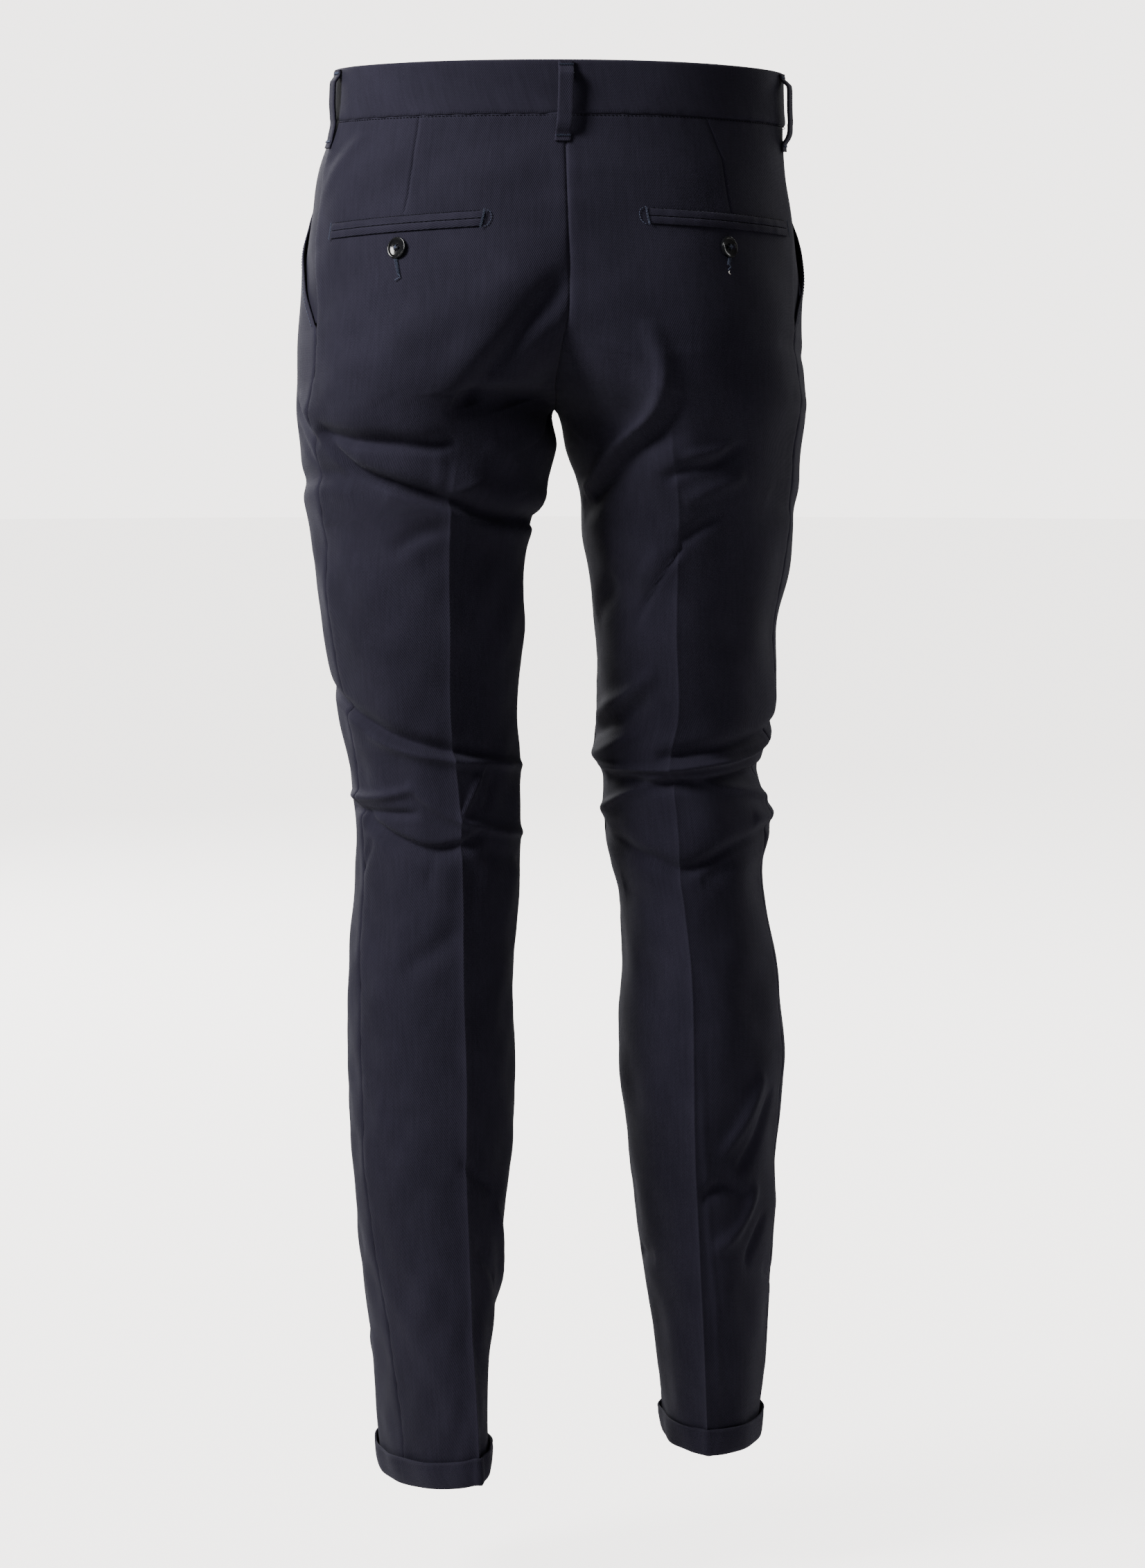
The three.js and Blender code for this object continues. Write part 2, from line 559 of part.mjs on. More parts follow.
// The waistband: a strip that starts as the underlap at the front, runs round by the wearer's right
// side and the back, and ends on top of its own start. bearing: degrees round from the left side.
function waistband() {
  const bearingAt = (x) => 360 + angleAtX('left', 0, x, 'front');
  const start = bearingAt(UNDERLAP_X);
  const lapped = start - bearingAt(OVERLAP_X);
  const levels = [0, -BAND_HEIGHT / 2, -BAND_HEIGHT];
  const layers = { outer: BAND_PROUD, inner: BAND_PROUD - BAND_THICK };
  const grids = { outer: levels.map(() => []), inner: levels.map(() => []) };
  for (let i = 0; i <= BAND_STEPS; i += 1) {
    const turned = (i / BAND_STEPS) * (360 + lapped);
    const bearing = (start - turned + 360) % 360;
    const leg = bearing > 90 && bearing < 270 ? 'right' : 'left';
    const own = leg === 'right' ? 180 - bearing : (bearing > 180 ? bearing - 360 : bearing);
    const tucked = UNDERLAP_DEPTH * (1 - THREE.MathUtils.smoothstep(turned - lapped, 2, 12));
    levels.forEach((level, r) => {
      const normal = clothNormal(leg, own, level - 2);
      for (const [layer, proud] of Object.entries(layers)) {
        const point = clothPoint(leg, own, level).addScaledVector(normal, proud - tucked);
        point.z += waistRise(leg, own, -BAND_HEIGHT) + (level === -BAND_HEIGHT ? SEAM_GAP / 2 : 0);
        grids[layer][r].push(point);
      }
    });
  }
  return wallGeometry(grids.outer, grids.inner);
}

// Turned-up cuff: an outer wall that stands off the leg and a web below the hem
const CUFF_STAND = 0.6;
const CUFF_WALL = 1.8;
const CUFF_GAPE = { left: 1.5, right: 0.9 };
const CUFF_GAPE_SWELL = 1.1;
function cuff(leg) {
  const last = sideLevels.length - 1;
  const back = panelPlaces(leg, 'back', last).map((p) => p.angle);
  const front = panelPlaces(leg, 'front', last).map((p) => p.angle);
  const angles = back.concat(front.slice(1, -1).reverse());
  const top = CUFF_BOTTOM_Z + CUFF_HEIGHT;
  const web = CUFF_BOTTOM_Z + CUFF_WEB;
  const stations = angles.map((angle) => {
    const gape = CUFF_GAPE[leg] + CUFF_GAPE_SWELL * Math.max(0, Math.sin(rad(2 * angle + 40)));
    const corner = (off, z) => {
      const level = Math.min(top, Math.max(z, HEM_Z));
      const point = clothPoint(leg, angle, level).addScaledVector(clothNormal(leg, angle, HEM_Z + 3).setZ(0).normalize(), off);
      point.z = z + hemRise(leg, angle, HEM_Z);
      return point;
    };
    return [
      corner(CUFF_STAND + CUFF_WALL, CUFF_BOTTOM_Z), corner(CUFF_WALL + gape, top), corner(gape, top),
      corner(CUFF_STAND, web), corner(-CLOTH, web), corner(-CLOTH, CUFF_BOTTOM_Z),
    ];
  });
  return ringGeometry(stations);
}

// Belt loop: a strip that lies on the band at its top and on the cloth at its foot, and stands off between
function beltLoop(leg, where, slack) {
  const angle = where === 'back' ? angleAtX(leg, -20, seamAt(-20).back, 'back') : where;
  const middle = clothPoint(leg, angle, -20);
  const halfAngle = (LOOP_WIDTH / 2) / clothPoint(leg, angle + 1, -20).distanceTo(middle);
  const outer = [];
  const inner = [];
  for (const [level, share] of LOOP_RUN) {
    const stand = share * slack;
    const seat = (level > -BAND_HEIGHT ? BAND_PROUD : 0) + LAID_GAP;
    const places = [-1, -1 / 3, 1 / 3, 1].map((side) => {
      const own = angle + side * halfAngle;
      const normal = clothNormal(leg, angle, Math.min(level, -4)).setZ(0).normalize();
      const base = clothPoint(leg, own, level);
      base.z = level + waistRise(leg, angle, -BAND_HEIGHT);
      return { base, normal };
    });
    outer.push(places.map(({ base, normal }) => base.clone().addScaledVector(normal, seat + stand + LOOP_THICK)));
    inner.push(places.map(({ base, normal }) => base.clone().addScaledVector(normal, seat + stand)));
  }
  return wallGeometry(outer, inner);
}

// A four-hole button with a raised rim, lying on +Z with its back at zero
const wasm = await Module();
wasm.setup();
function toManifold(geometry) {
  const bare = geometry.clone();
  bare.deleteAttribute('normal');
  bare.deleteAttribute('uv');
  const merged = mergeVertices(bare, 1e-4);
  const order = merged.index.array;
  const triangles = [];
  for (let i = 0; i < order.length; i += 3) {
    const [a, b, c] = order.slice(i, i + 3);
    if (a !== b && b !== c && a !== c) triangles.push(a, b, c);
  }
  return new wasm.Manifold(new wasm.Mesh({
    numProp: 3, vertProperties: merged.getAttribute('position').array, triVerts: new Uint32Array(triangles),
  }));
}
function buttonGeometry() {
  const profile = [[0, 0], [4.6, 0], [BUTTON_RADIUS - 0.3, 1.1], [BUTTON_RADIUS, 1.8], [BUTTON_RADIUS - 0.6, BUTTON_EDGE],
    [BUTTON_RADIUS - 1.7, BUTTON_EDGE - 0.1], [BUTTON_RADIUS - 2.9, BUTTON_DISH], [0, BUTTON_DISH]];
  const lathe = new THREE.LatheGeometry(profile.map(([x, y]) => new THREE.Vector2(x, y)), BUTTON_SIDES).rotateX(Math.PI / 2);
  let solid = toManifold(lathe);
  for (const [sx, sy] of [[1, 1], [-1, 1], [-1, -1], [1, -1]]) {
    const drill = new THREE.CylinderGeometry(BUTTON_HOLE, BUTTON_HOLE, 3 * BUTTON_EDGE, 8).rotateX(Math.PI / 2);
    drill.translate(sx * BUTTON_HOLE_PITCH / 2, sy * BUTTON_HOLE_PITCH / 2, 0);
    solid = solid.subtract(toManifold(drill));
  }
  const cut = solid.getMesh();
  return facingOut(Array.from(cut.vertProperties), Array.from(cut.triVerts));
}

const fabric = new THREE.MeshStandardMaterial({ color: 0x20222c, roughness: 0.9, metalness: 0 });
const horn = new THREE.MeshStandardMaterial({ color: 0x15161a, roughness: 0.25, metalness: 0 });
const trousers = new THREE.Group();
trousers.name = 'chino_trousers';
function add(name, geometry, material = fabric) {
  const mesh = new THREE.Mesh(geometry, material.clone());
  mesh.name = name;
  trousers.add(mesh);
  return mesh;
}
function addButton(name, leg, angle, z, lift) {
  const mesh = add(name, buttonGeometry(), horn);
  const normal = clothNormal(leg, angle, z);
  mesh.position.copy(clothPoint(leg, angle, z)).addScaledVector(normal, lift);
  mesh.position.z += waistRise(leg, angle, z);
  mesh.quaternion.setFromUnitVectors(new THREE.Vector3(0, 0, 1), normal);
}

add('waistband', waistband());
for (const leg of ['left', 'right']) {
  add(`back_${leg}`, panel(leg, 'back'));
  add(`front_${leg}`, panel(leg, 'front'));
  add(`pocket_facing_${leg}`, pocketFacing(leg));
  add(`welt_upper_${leg}`, weltLip(leg, 'upper'));
  add(`welt_lower_${leg}`, weltLip(leg, 'lower'));
  add(`cuff_${leg}`, cuff(leg));
}
add('fly', fly());
for (const [name, [leg, where, slack]] of Object.entries(LOOPS)) add(name, beltLoop(leg, where, slack));
for (const [name, [leg, angle, z]] of Object.entries(BUTTONS)) addButton(name, leg, angle, z, LAID_GAP);
addButton('button_waist', 'left', angleAtX('left', -18, 3, 'front'), -18, BAND_PROUD + LAID_GAP);

export default trousers;
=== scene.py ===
import math

import bpy
import numpy as np
from mathutils import Matrix, Vector


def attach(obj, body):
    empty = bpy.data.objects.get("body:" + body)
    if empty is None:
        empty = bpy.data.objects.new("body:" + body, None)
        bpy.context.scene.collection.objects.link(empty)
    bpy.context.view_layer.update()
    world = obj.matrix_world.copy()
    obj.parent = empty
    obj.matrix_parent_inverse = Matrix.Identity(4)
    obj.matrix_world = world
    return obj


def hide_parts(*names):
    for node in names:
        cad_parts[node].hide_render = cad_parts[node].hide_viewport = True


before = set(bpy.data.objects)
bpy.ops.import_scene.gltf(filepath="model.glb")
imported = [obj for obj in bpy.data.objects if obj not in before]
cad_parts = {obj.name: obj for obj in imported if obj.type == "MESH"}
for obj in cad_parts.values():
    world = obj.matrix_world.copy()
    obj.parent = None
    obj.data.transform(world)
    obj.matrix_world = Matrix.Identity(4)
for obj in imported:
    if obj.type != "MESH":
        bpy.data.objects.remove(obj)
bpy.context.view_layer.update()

# All tables are in millimetres and degrees, as on the pattern; meshes are written in metres.
MM = 0.001

# The garment's form: one row for each level of a leg, as in the rigid part
LEG_COLUMNS = ["z", "outer", "inner", "ahead", "back", "front", "toe", "crease", "bulk"]
LEG_ROWS = {
    "left": [
        [10, 160, -160, 0, 111, 111, 0, 0, 2.3],
        [-37, 163, -160, 0, 117, 115, 0, 0, 2.3],
        [-70, 173.5, -165, 0, 124, 118, 0, 0, 2.3],
        [-100, 179, -172, 0, 130, 120, 0, 0, 2.25],
        [-130, 183, -155, 0, 136, 121, 0, 0, 2.25],
        [-160, 185, -112, 0, 138, 120, 0, 0.5, 2.2],
        [-190, 187, -62, 0, 137, 118, 0, 1, 2.15],
        [-215, 188, -24, 0, 132, 115, 0, 1.5, 2.1],
        [-242, 189, 4, 0, 121, 111, 0, 2, 2.05],
        [-270, 187, 3, 0, 110, 106, 5, 2.5, 2],
        [-300, 184, 12.5, 1, 101, 100, 9, 3, 2],
        [-340, 180, 25, 2, 93, 94, 12, 3.5, 2],
        [-400, 172, 26, 0, 87, 88, 11, 4, 2],
        [-460, 160, 31, -6, 80, 84, 10, 4, 2],
        [-520, 151, 29, -8, 76, 80, 11, 4.5, 2],
        [-580, 149, 29, -5, 74, 76, 12, 5, 2],
        [-650, 155, 35, 2, 73, 72, 17, 5, 2],
        [-720, 155, 34, 7, 72, 70, 18, 5.5, 2],
        [-790, 153, 38, 12, 70, 68, 19, 5.5, 2],
        [-860, 147, 46, 17, 69, 67, 22, 6, 2],
        [-930, 140, 54, 21, 68, 66, 25, 6.5, 1.95],
        [-1015, 134, 56, 25, 67, 65, 27, 7, 1.9],
    ],
    "right": [
        [10, 159, -160, 0, 111, 111, 0, 0, 2.3],
        [-37, 160, -163, 0, 117, 115, 0, 0, 2.3],
        [-70, 162.5, -169, 0, 124, 118, 0, 0, 2.3],
        [-100, 166, -162, 0, 130, 120, 0, 0, 2.25],
        [-130, 170, -146, 0, 136, 121, 0, 0, 2.25],
        [-160, 173, -108, 0, 138, 120, 0, 0.5, 2.2],
        [-190, 174, -66, 0, 137, 118, 0, 1, 2.15],
        [-215, 175, -32, 0, 132, 115, 0, 1.5, 2.1],
        [-242, 176, -4, 0, 121, 111, 0, 2, 2.05],
        [-270, 175, 5, -3, 111, 106, 5, 2.5, 2],
        [-300, 174, 14, -7, 102, 101, 8, 3, 2],
        [-340, 170, 18, -14, 94, 95, 9, 3.5, 2],
        [-400, 161, 26, -26, 87, 89, 8, 4, 2],
        [-460, 161, 30, -38, 81, 84, 6, 4, 2],
        [-493, 152, 27, -42, 78, 82, 5, 4, 2],
        [-513, 149, 34, -43.5, 76.5, 80.5, 5, 4.3, 2],
        [-535, 155.5, 33.5, -44, 75.5, 79, 5, 4.5, 2],
        [-555, 157.5, 35, -44, 75, 78, 5.5, 4.7, 2],
        [-578, 153, 40, -44, 74, 76, 6, 5, 2],
        [-600, 154, 45.5, -43.5, 73.5, 75, 6.5, 5, 2],
        [-650, 163, 48, -42, 73, 72, 9, 5, 2],
        [-720, 169, 46, -43, 72, 70, 8, 5.5, 2],
        [-790, 165, 53, -47, 70, 68, 7, 5.5, 2],
        [-860, 163, 62, -50, 69, 67, 8, 6, 2],
        [-930, 159, 72, -52, 68, 66, 6, 6.5, 1.95],
        [-1015, 153, 83, -55, 65, 63, 5, 7, 1.85],
    ],
}
SIDE = {"left": 1, "right": -1}
SEAM_COLUMNS = ["z", "back", "front", "side"]
SEAM_ROWS = [
    [10, 2.5, 0, 12],
    [-50, 2.5, 0, 14],
    [-120, 1, 0, 18],
    [-165, 0.5, 0, 24],
    [-197, 5, 1.5, 27],
    [-224, 7, 3, 27],
    [-242, 4, 4, 26],
    [-330, 4, 4, 16],
    [-450, 4, 4, 11],
    [-1020, 4, 4, 10],
]
BAND_HEIGHT = 37
BAND_RISE_BACK, BAND_DIP_FRONT = 0.3, -6
BAND_DIP_SIDE = {"left": -2.5, "right": -5}
DIP_FADE_Z = -170
CROTCH_Z = -242
SIDE_AT_CROTCH_Z = -312.3
INNER_MEETS_Z = -430
CUFF_BOTTOM_Z, CUFF_HEIGHT, CUFF_WEB = -1014, 20, 1.2
HEM_Z = CUFF_BOTTOM_Z + CUFF_WEB + 0.3
HEM_TILT = {"left": (-8, 3), "right": (0, 0)}
HEM_TILT_TOP_Z = -880
CREASE_SHARE = {"back": 0.4, "front": 0.5}
CREASE_SPREAD = 14
CREASE_FREE_TOE = 9
# How much of the crease is a broad roof and how much a sharp pressed line, and where it starts
CREASE_ROOF = {"left": 0.55, "right": 0.36}
CREASE_LINE = {"left": 0.36, "right": 0.24}
CREASE_LINE_WIDTH = 3.6
CREASE_TOP_Z = {"left": (-268, -306), "right": (-196, -250)}
KNEE_Z = {"left": -545, "right": -535}
KNEE_HALF_HEIGHT = 55
KNEE_ROOF_LOSS = 0.45
MM_PER_DEGREE = 1.5

# Folds: leg, places as (degrees round, height), rise, fade above and below the line
FOLDS = [
    # seat and thigh of the left leg
    ("left", [(84, -116), (87, -150), (90, -188), (92, -208), (94, -228)], 3.2, 9, 9),
    ("left", [(95, -112), (97, -150), (100, -190), (103, -216), (108, -236)], -5.2, 6.5, 6.5),
    ("left", [(128, -96), (131, -160), (134, -205), (138, -236)], -9.0, 24, 24),
    ("left", [(97, -227), (106, -226), (126, -229), (150, -235), (178, -243)], -13.0, 4.2, 14),
    ("left", [(124, -126), (130, -166), (142, -212)], 2.2, 9, 9),
    ("left", [(150, -100), (158, -150), (170, -205)], -1.6, 7, 7),
    ("left", [(31, -254), (36, -257), (52, -261), (68, -262), (86, -264), (97, -259)], -7.6, 6.0, 4.6),
    ("left", [(48, -270), (66, -279), (88, -289), (116, -301), (150, -306), (166, -307)], 5.0, 12, 9),
    ("left", [(33, -259), (47, -281), (66, -291.5), (84, -300), (96, -306), (112, -314), (150, -320),
              (170, -321)], -7.2, 4.2, 4.4),
    ("left", [(33, -261), (47, -281), (66, -292), (86, -301)], -2.2, 3.4, 3.4),
    ("left", [(42, -284), (66, -300), (84, -308), (112, -321), (150, -327), (168, -328)], 2.6, 4, 12),
    ("left", [(87.5, -268), (86.5, -281), (84.5, -296)], 1.3, 3, 3),
    ("left", [(91, -299), (97, -294), (104, -290)], 1.6, 4, 4),
    ("left", [(110, -262), (124, -280), (128, -300)], 2.2, 9, 9),
    ("left", [(-26, -297), (8, -289), (29, -285), (47, -288), (62, -298)], -3.6, 7, 9),
    ("left", [(-20, -306), (20, -296), (44, -299)], 1.4, 7, 9),
    ("left", [(60, -340), (68, -332), (77, -325), (90, -322)], -2.3, 7, 6),
    ("left", [(68, -343), (78, -335), (88, -330)], 1.1, 5, 7),
    ("left", [(6, -236), (16, -250), (28, -265)], -3.2, 5, 5),
    ("left", [(12, -232), (26, -246)], 1.8, 6, 6),
    ("left", [(2, -252), (12, -264), (22, -280)], -2.0, 4, 4),
    ("left", [(-30, -322), (8, -330), (40, -345)], -1.4, 14, 14),
    ("left", [(46, -200), (60, -214), (70, -232)], 1.2, 12, 12),
    ("left", [(36, -48), (29, -62), (23, -78), (19, -96)], 1.3, 5, 5),
    ("left", [(30, -44), (24, -56), (18, -70)], -1.2, 4, 4),
    ("left", [(104, -52), (92, -72), (84, -96)], -1.0, 9, 9),
    ("left", [(112, -60), (118, -92), (120, -124)], -1.4, 12, 12),
    ("right", [(118, -50), (110, -84), (104, -118)], 1.0, 9, 9),
    ("right", [(130, -66), (122, -104), (112, -138)], -1.2, 9, 9),
    # back of the left knee
    ("left", [(-24, -441), (6, -452), (27, -462), (60, -475), (84, -481), (112, -486)], -6.2, 7, 3.4),
    ("left", [(30, -472), (60, -482), (90, -488), (125, -493), (164, -499)], 4.0, 3, 4.2),
    ("left", [(98, -481), (140, -489), (166, -493)], -2.0, 5, 3),
    ("left", [(-14, -522), (10, -520), (35, -517), (60, -510)], 4.2, 3.6, 3.4),
    ("left", [(-14, -530), (20, -529), (43, -528), (62, -527)], -4.0, 3, 3.6),
    ("left", [(16, -531), (30, -539), (47, -547), (69, -553), (88, -550), (107, -540)], -6.0, 3.6, 7.5),
    ("left", [(56, -506), (70, -519), (84, -529), (98, -535), (126, -543), (166, -549)], 3.8, 4.2, 3.4),
    ("left", [(110, -493), (100, -512), (92, -528)], 4.2, 2.6, 2.6),
    ("left", [(118, -502), (108, -526)], -2.0, 3.2, 3.2),
    ("left", [(23, -549), (10, -574)], -1.6, 3.2, 3.2),
    ("left", [(72, -557), (66, -580)], -1.3, 6, 6),
    ("left", [(106, -556), (140, -564), (164, -568)], -2.2, 6.4, 8),
    ("left", [(48, -641), (68, -626), (90, -609)], -2.8, 8.8, 8.8),
    ("left", [(40, -618), (60, -600)], 1.2, 9.6, 9.6),
    # lower left leg
    ("left", [(86, -776), (99, -788), (114, -798)], -3.4, 3.6, 5.2),
    ("left", [(118, -812), (140, -850), (160, -896)], 3.0, 6.5, 6.5),
    ("left", [(30, -742), (52, -752)], -1.4, 9.5, 9.5),
    ("left", [(98, -838), (128, -868)], -2.8, 6, 6),
    # seat and thigh of the right leg
    ("right", [(87, -178), (89.5, -198), (93, -214), (98, -226), (110, -246), (124, -266), (141, -288),
               (158, -300)], 5.0, 4.4, 5.0),
    ("right", [(93, -226), (103, -251), (114, -266), (131, -287), (150, -303)], -4.6, 5.6, 6.4),
    ("right", [(100, -200), (112, -228), (130, -256)], -2.6, 9, 9),
    ("right", [(92, -254), (103, -261), (119, -279), (148, -305), (162, -313)], -3.8, 8, 10),
    ("right", [(99, -289), (88.5, -280.5), (75, -277), (62, -264)], -3.5, 4.4, 5),
    ("right", [(91, -334), (80, -323), (68, -314)], -3.4, 5, 5),
    ("right", [(88, -336), (91, -342), (101, -361), (118, -393)], -3.2, 2.0, 2.2),
    ("right", [(98, -338), (114, -366)], 2.2, 6.3, 6.3),
    ("right", [(85, -76), (83, -140), (80, -198)], -2.6, 18, 18),
    ("right", [(40, -192), (4, -206), (-16, -211)], -1.3, 5.4, 6.3),
    ("right", [(34, -230), (18, -236), (8, -240)], 1.0, 7, 7),
    ("right", [(40, -300), (8, -312), (-24, -318)], -1.9, 10.8, 10.8),
    ("right", [(156, -392), (130, -361)], -2.2, 8.1, 8.1),
    ("right", [(90, -272), (79, -270), (68, -264)], 2.6, 5, 5),
    ("right", [(88, -305), (73, -295), (58, -286)], 3.2, 7, 6),
    ("right", [(92, -345), (108, -372)], 2.2, 5, 5),
    # back of the right knee
    ("right", [(172, -467), (132, -449), (106, -428)], 3.8, 7.2, 6.4),
    ("right", [(182, -484), (142, -468), (112, -450)], -3.5, 6.4, 6.4),
    ("right", [(186, -500), (152, -491), (118, -474)], 2.8, 5.6, 4.8),
    ("right", [(168, -503), (140, -502), (122, -501), (95, -500), (69, -497), (32, -492), (-14, -477)],
     4.8, 3.0, 2.2),
    ("right", [(104, -492), (88, -490), (60, -485), (20, -479), (-12, -468)], -5.4, 6.4, 3.4),
    ("right", [(158, -509), (112, -511), (92, -509), (60, -508), (20, -505), (-12, -504)], -6.4, 3.0, 6.4),
    ("right", [(180, -540), (150, -528), (122, -515), (97, -505)], 3.4, 4.0, 3.6),
    ("right", [(86, -505), (57, -513), (27, -520), (-4, -530)], 3.4, 3.6, 4.0),
    ("right", [(180, -549), (145, -558), (114, -567), (89, -574), (56, -560), (28, -553), (-6, -547)],
     -5.4, 6.4, 5.6),
    ("right", [(78, -582), (48, -567), (8, -558)], -2.8, 5.6, 7.2),
    ("right", [(34, -539), (4, -542), (-22, -539)], 4.2, 6.4, 6.4),
    ("right", [(150, -590), (120, -600)], -1.5, 9.6, 9.6),
    # lower right leg
    ("right", [(38, -728), (56, -762), (73, -786)], 4.2, 6, 8),
    ("right", [(28, -742), (48, -782), (60, -800)], -3.4, 6, 6),
    ("right", [(40, -812), (58, -843), (80, -858)], 4.0, 5.5, 6.5),
    ("right", [(89, -818), (78, -810), (66, -811), (50, -822)], -4.6, 4.4, 6),
    ("right", [(30, -838), (50, -872)], -3.0, 5.5, 5.5),
    ("right", [(86, -700), (86, -762), (84, -818), (82, -862), (80, -930), (82, -986)], 1.1, 2.7, 2.7),
    ("right", [(172, -870), (138, -868)], -2.6, 5.4, 6.3),
    ("right", [(-8, -894), (28, -880)], -2.6, 5.4, 6.3),
    # fronts, which mirror the kind of folds seen behind
    ("left", [(-58, -220), (-84, -234), (-110, -246), (-158, -266)], 3.8, 9, 9),
    ("left", [(-66, -250), (-92, -266), (-118, -278), (-160, -292)], -3.6, 11, 11),
    ("left", [(-40, -214), (-74, -226), (-96, -230)], -2.0, 8, 8),
    ("left", [(-74, -300), (-116, -312), (-160, -318)], 2.2, 9, 8),
    ("left", [(-28, -468), (-60, -484), (-90, -488), (-142, -478)], -3.6, 10, 8),
    ("left", [(-36, -498), (-74, -506), (-120, -500)], 2.8, 7, 7),
    ("left", [(-40, -527), (-70, -538), (-98, -540), (-152, -530)], 3.4, 9, 8),
    ("left", [(-50, -548), (-96, -556), (-140, -550)], -2.4, 8, 8),
    ("left", [(-48, -924), (-76, -940), (-100, -944), (-142, -934)], 3.0, 9, 9),
    ("left", [(-56, -950), (-100, -964), (-138, -956)], -2.4, 8, 8),
    ("right", [(-62, -226), (-86, -238), (-112, -250), (-160, -270)], 3.8, 9, 9),
    ("right", [(-60, -256), (-92, -274), (-116, -286), (-164, -300)], -3.6, 11, 11),
    ("right", [(-42, -218), (-76, -232), (-98, -236)], -2.0, 8, 8),
    ("right", [(-76, -306), (-118, -318), (-162, -324)], 2.2, 9, 8),
    ("right", [(-26, -496), (-62, -510), (-98, -512), (-146, -504)], -3.4, 9, 8),
    ("right", [(-30, -545), (-60, -558), (-90, -562), (-142, -552)], -3.4, 10, 8),
    ("right", [(-34, -528), (-80, -536), (-124, -530)], 2.8, 7, 7),
    ("right", [(-48, -932), (-76, -946), (-98, -950), (-142, -940)], 3.0, 9, 9),
    ("right", [(-56, -960), (-100, -972), (-138, -964)], -2.4, 8, 8),
]

# Slant pockets and back pockets
POCKET_TOP_ANGLE, POCKET_FOOT_Z, POCKET_UNDERLAP = -38, -186, 9
POCKET_GAPE = {"left": 1.5, "right": 4}
POCKET_GAPE_FADE = 12
FACING_DEPTH = 2.7
WELTS = {
    "left": {"outer": (28.5, -110.5), "inner": (74.5, -103)},
    "right": {"outer": (24, -107.5), "inner": (74.5, -101)},
}
WELT_LIP, WELT_SLIT = 5, 0.6
LAID_GAP = 0.4

# Darts: degrees round at the waist seam, half way and at the pocket
DARTS = {"left": [(-37, 54.4), (-70, 55.7), (-104, 54.1)], "right": [(-37, 56), (-66, 51), (-102, 50)]}
DART_COLUMN = 0.69

LOOP_WIDTH, LOOP_THICK = 12, 1.8
# A belt loop's run, as heights with a share of its slack
LOOP_RUN = [
    (-1.2, 0), (-4.5, 0.02), (-7.5, 0.6), (-11, 1), (-24, 1), (-40, 1), (-46, 0.68), (-51, 0.04), (-55.5, 0)
]
# Each loop's leg, degrees round or None on the centre seam, and slack
LOOP_LEVEL = -20.0
LOOPS = {
    "belt_loop_back": ("left", None, 5.3),
    "belt_loop_side_left": ("left", 14, 3.6),
    "belt_loop_side_right": ("right", 16, 5.2),
    "belt_loop_front_left": ("left", -56, 5.3),
    "belt_loop_front_right": ("right", -56, 5.3),
}
# How much of its slack a loop keeps below the waistband
LOOP_FOOT_SLACK = {"belt_loop_side_left": 0.3}
BAND_PROUD = 0.3
OVERLAP_X, UNDERLAP_X, UNDERLAP_DEPTH = -9, 28, 2.4
FLY_X, FLY_FOOT_Z, FLY_LIFT, FLY_ROUND = (-5, 34), -178, 0.6, 34

sin_deg = lambda a: np.sin(np.radians(a))
cos_deg = lambda a: np.cos(np.radians(a))
lerp = lambda a, b, t: a + (b - a) * t
bell = lambda distance, width: np.exp(-((distance / width) ** 2))


def signed_power(v, p):
    return np.sign(v) * np.abs(v) ** p


def smoothstep(x, low, high):
    t = np.clip((x - low) / (high - low), 0, 1)
    return t * t * (3 - 2 * t)


def table_at(columns, rows, z):
    """A smooth curve through the rows of a table whose heights fall, at each height in z."""
    rows = np.array(rows, float)
    n = len(rows)
    at = np.clip(np.asarray(z, float), rows[-1, 0], rows[0, 0])
    i = np.clip(np.searchsorted(-rows[:, 0], -at) - 1, 0, n - 2)
    before, after = rows[np.maximum(np.arange(n) - 1, 0)], rows[np.minimum(np.arange(n) + 1, n - 1)]
    slope = (after - before) / (after[:, :1] - before[:, :1])
    h = rows[i + 1, 0] - rows[i, 0]
    s = (at - rows[i, 0]) / h
    a, b = 2 * s**3 - 3 * s**2 + 1, (s**3 - 2 * s**2 + s) * h
    c, d = 3 * s**2 - 2 * s**3, (s**3 - s**2) * h
    return {
        name: a * rows[i, k] + b * slope[i, k] + c * rows[i + 1, k] + d * slope[i + 1, k]
        for k, name in enumerate(columns)
    }


def leg_at(leg, z):
    """A leg's row at each height."""
    return table_at(LEG_COLUMNS, LEG_ROWS[leg], z)


def seam_at(z):
    """The centre seams' places along X and the side seam's degrees at each height."""
    return table_at(SEAM_COLUMNS, SEAM_ROWS, z)


def angle_at_x(leg, z, x, face):
    """The degrees round a leg at which its section reaches a place along X."""
    row = leg_at(leg, z)
    reach = (row["outer"] - row["inner"]) / 2
    c = np.clip((SIDE[leg] * x - (row["outer"] + row["inner"]) / 2) / reach, -1, 1)
    angle = np.degrees(np.arccos(signed_power(c, row["bulk"] / 2)))
    return angle if face == "back" else -angle


# The largest share of a leg's half width that its turn outwards takes
TOE_SWING_LIMIT = 0.92


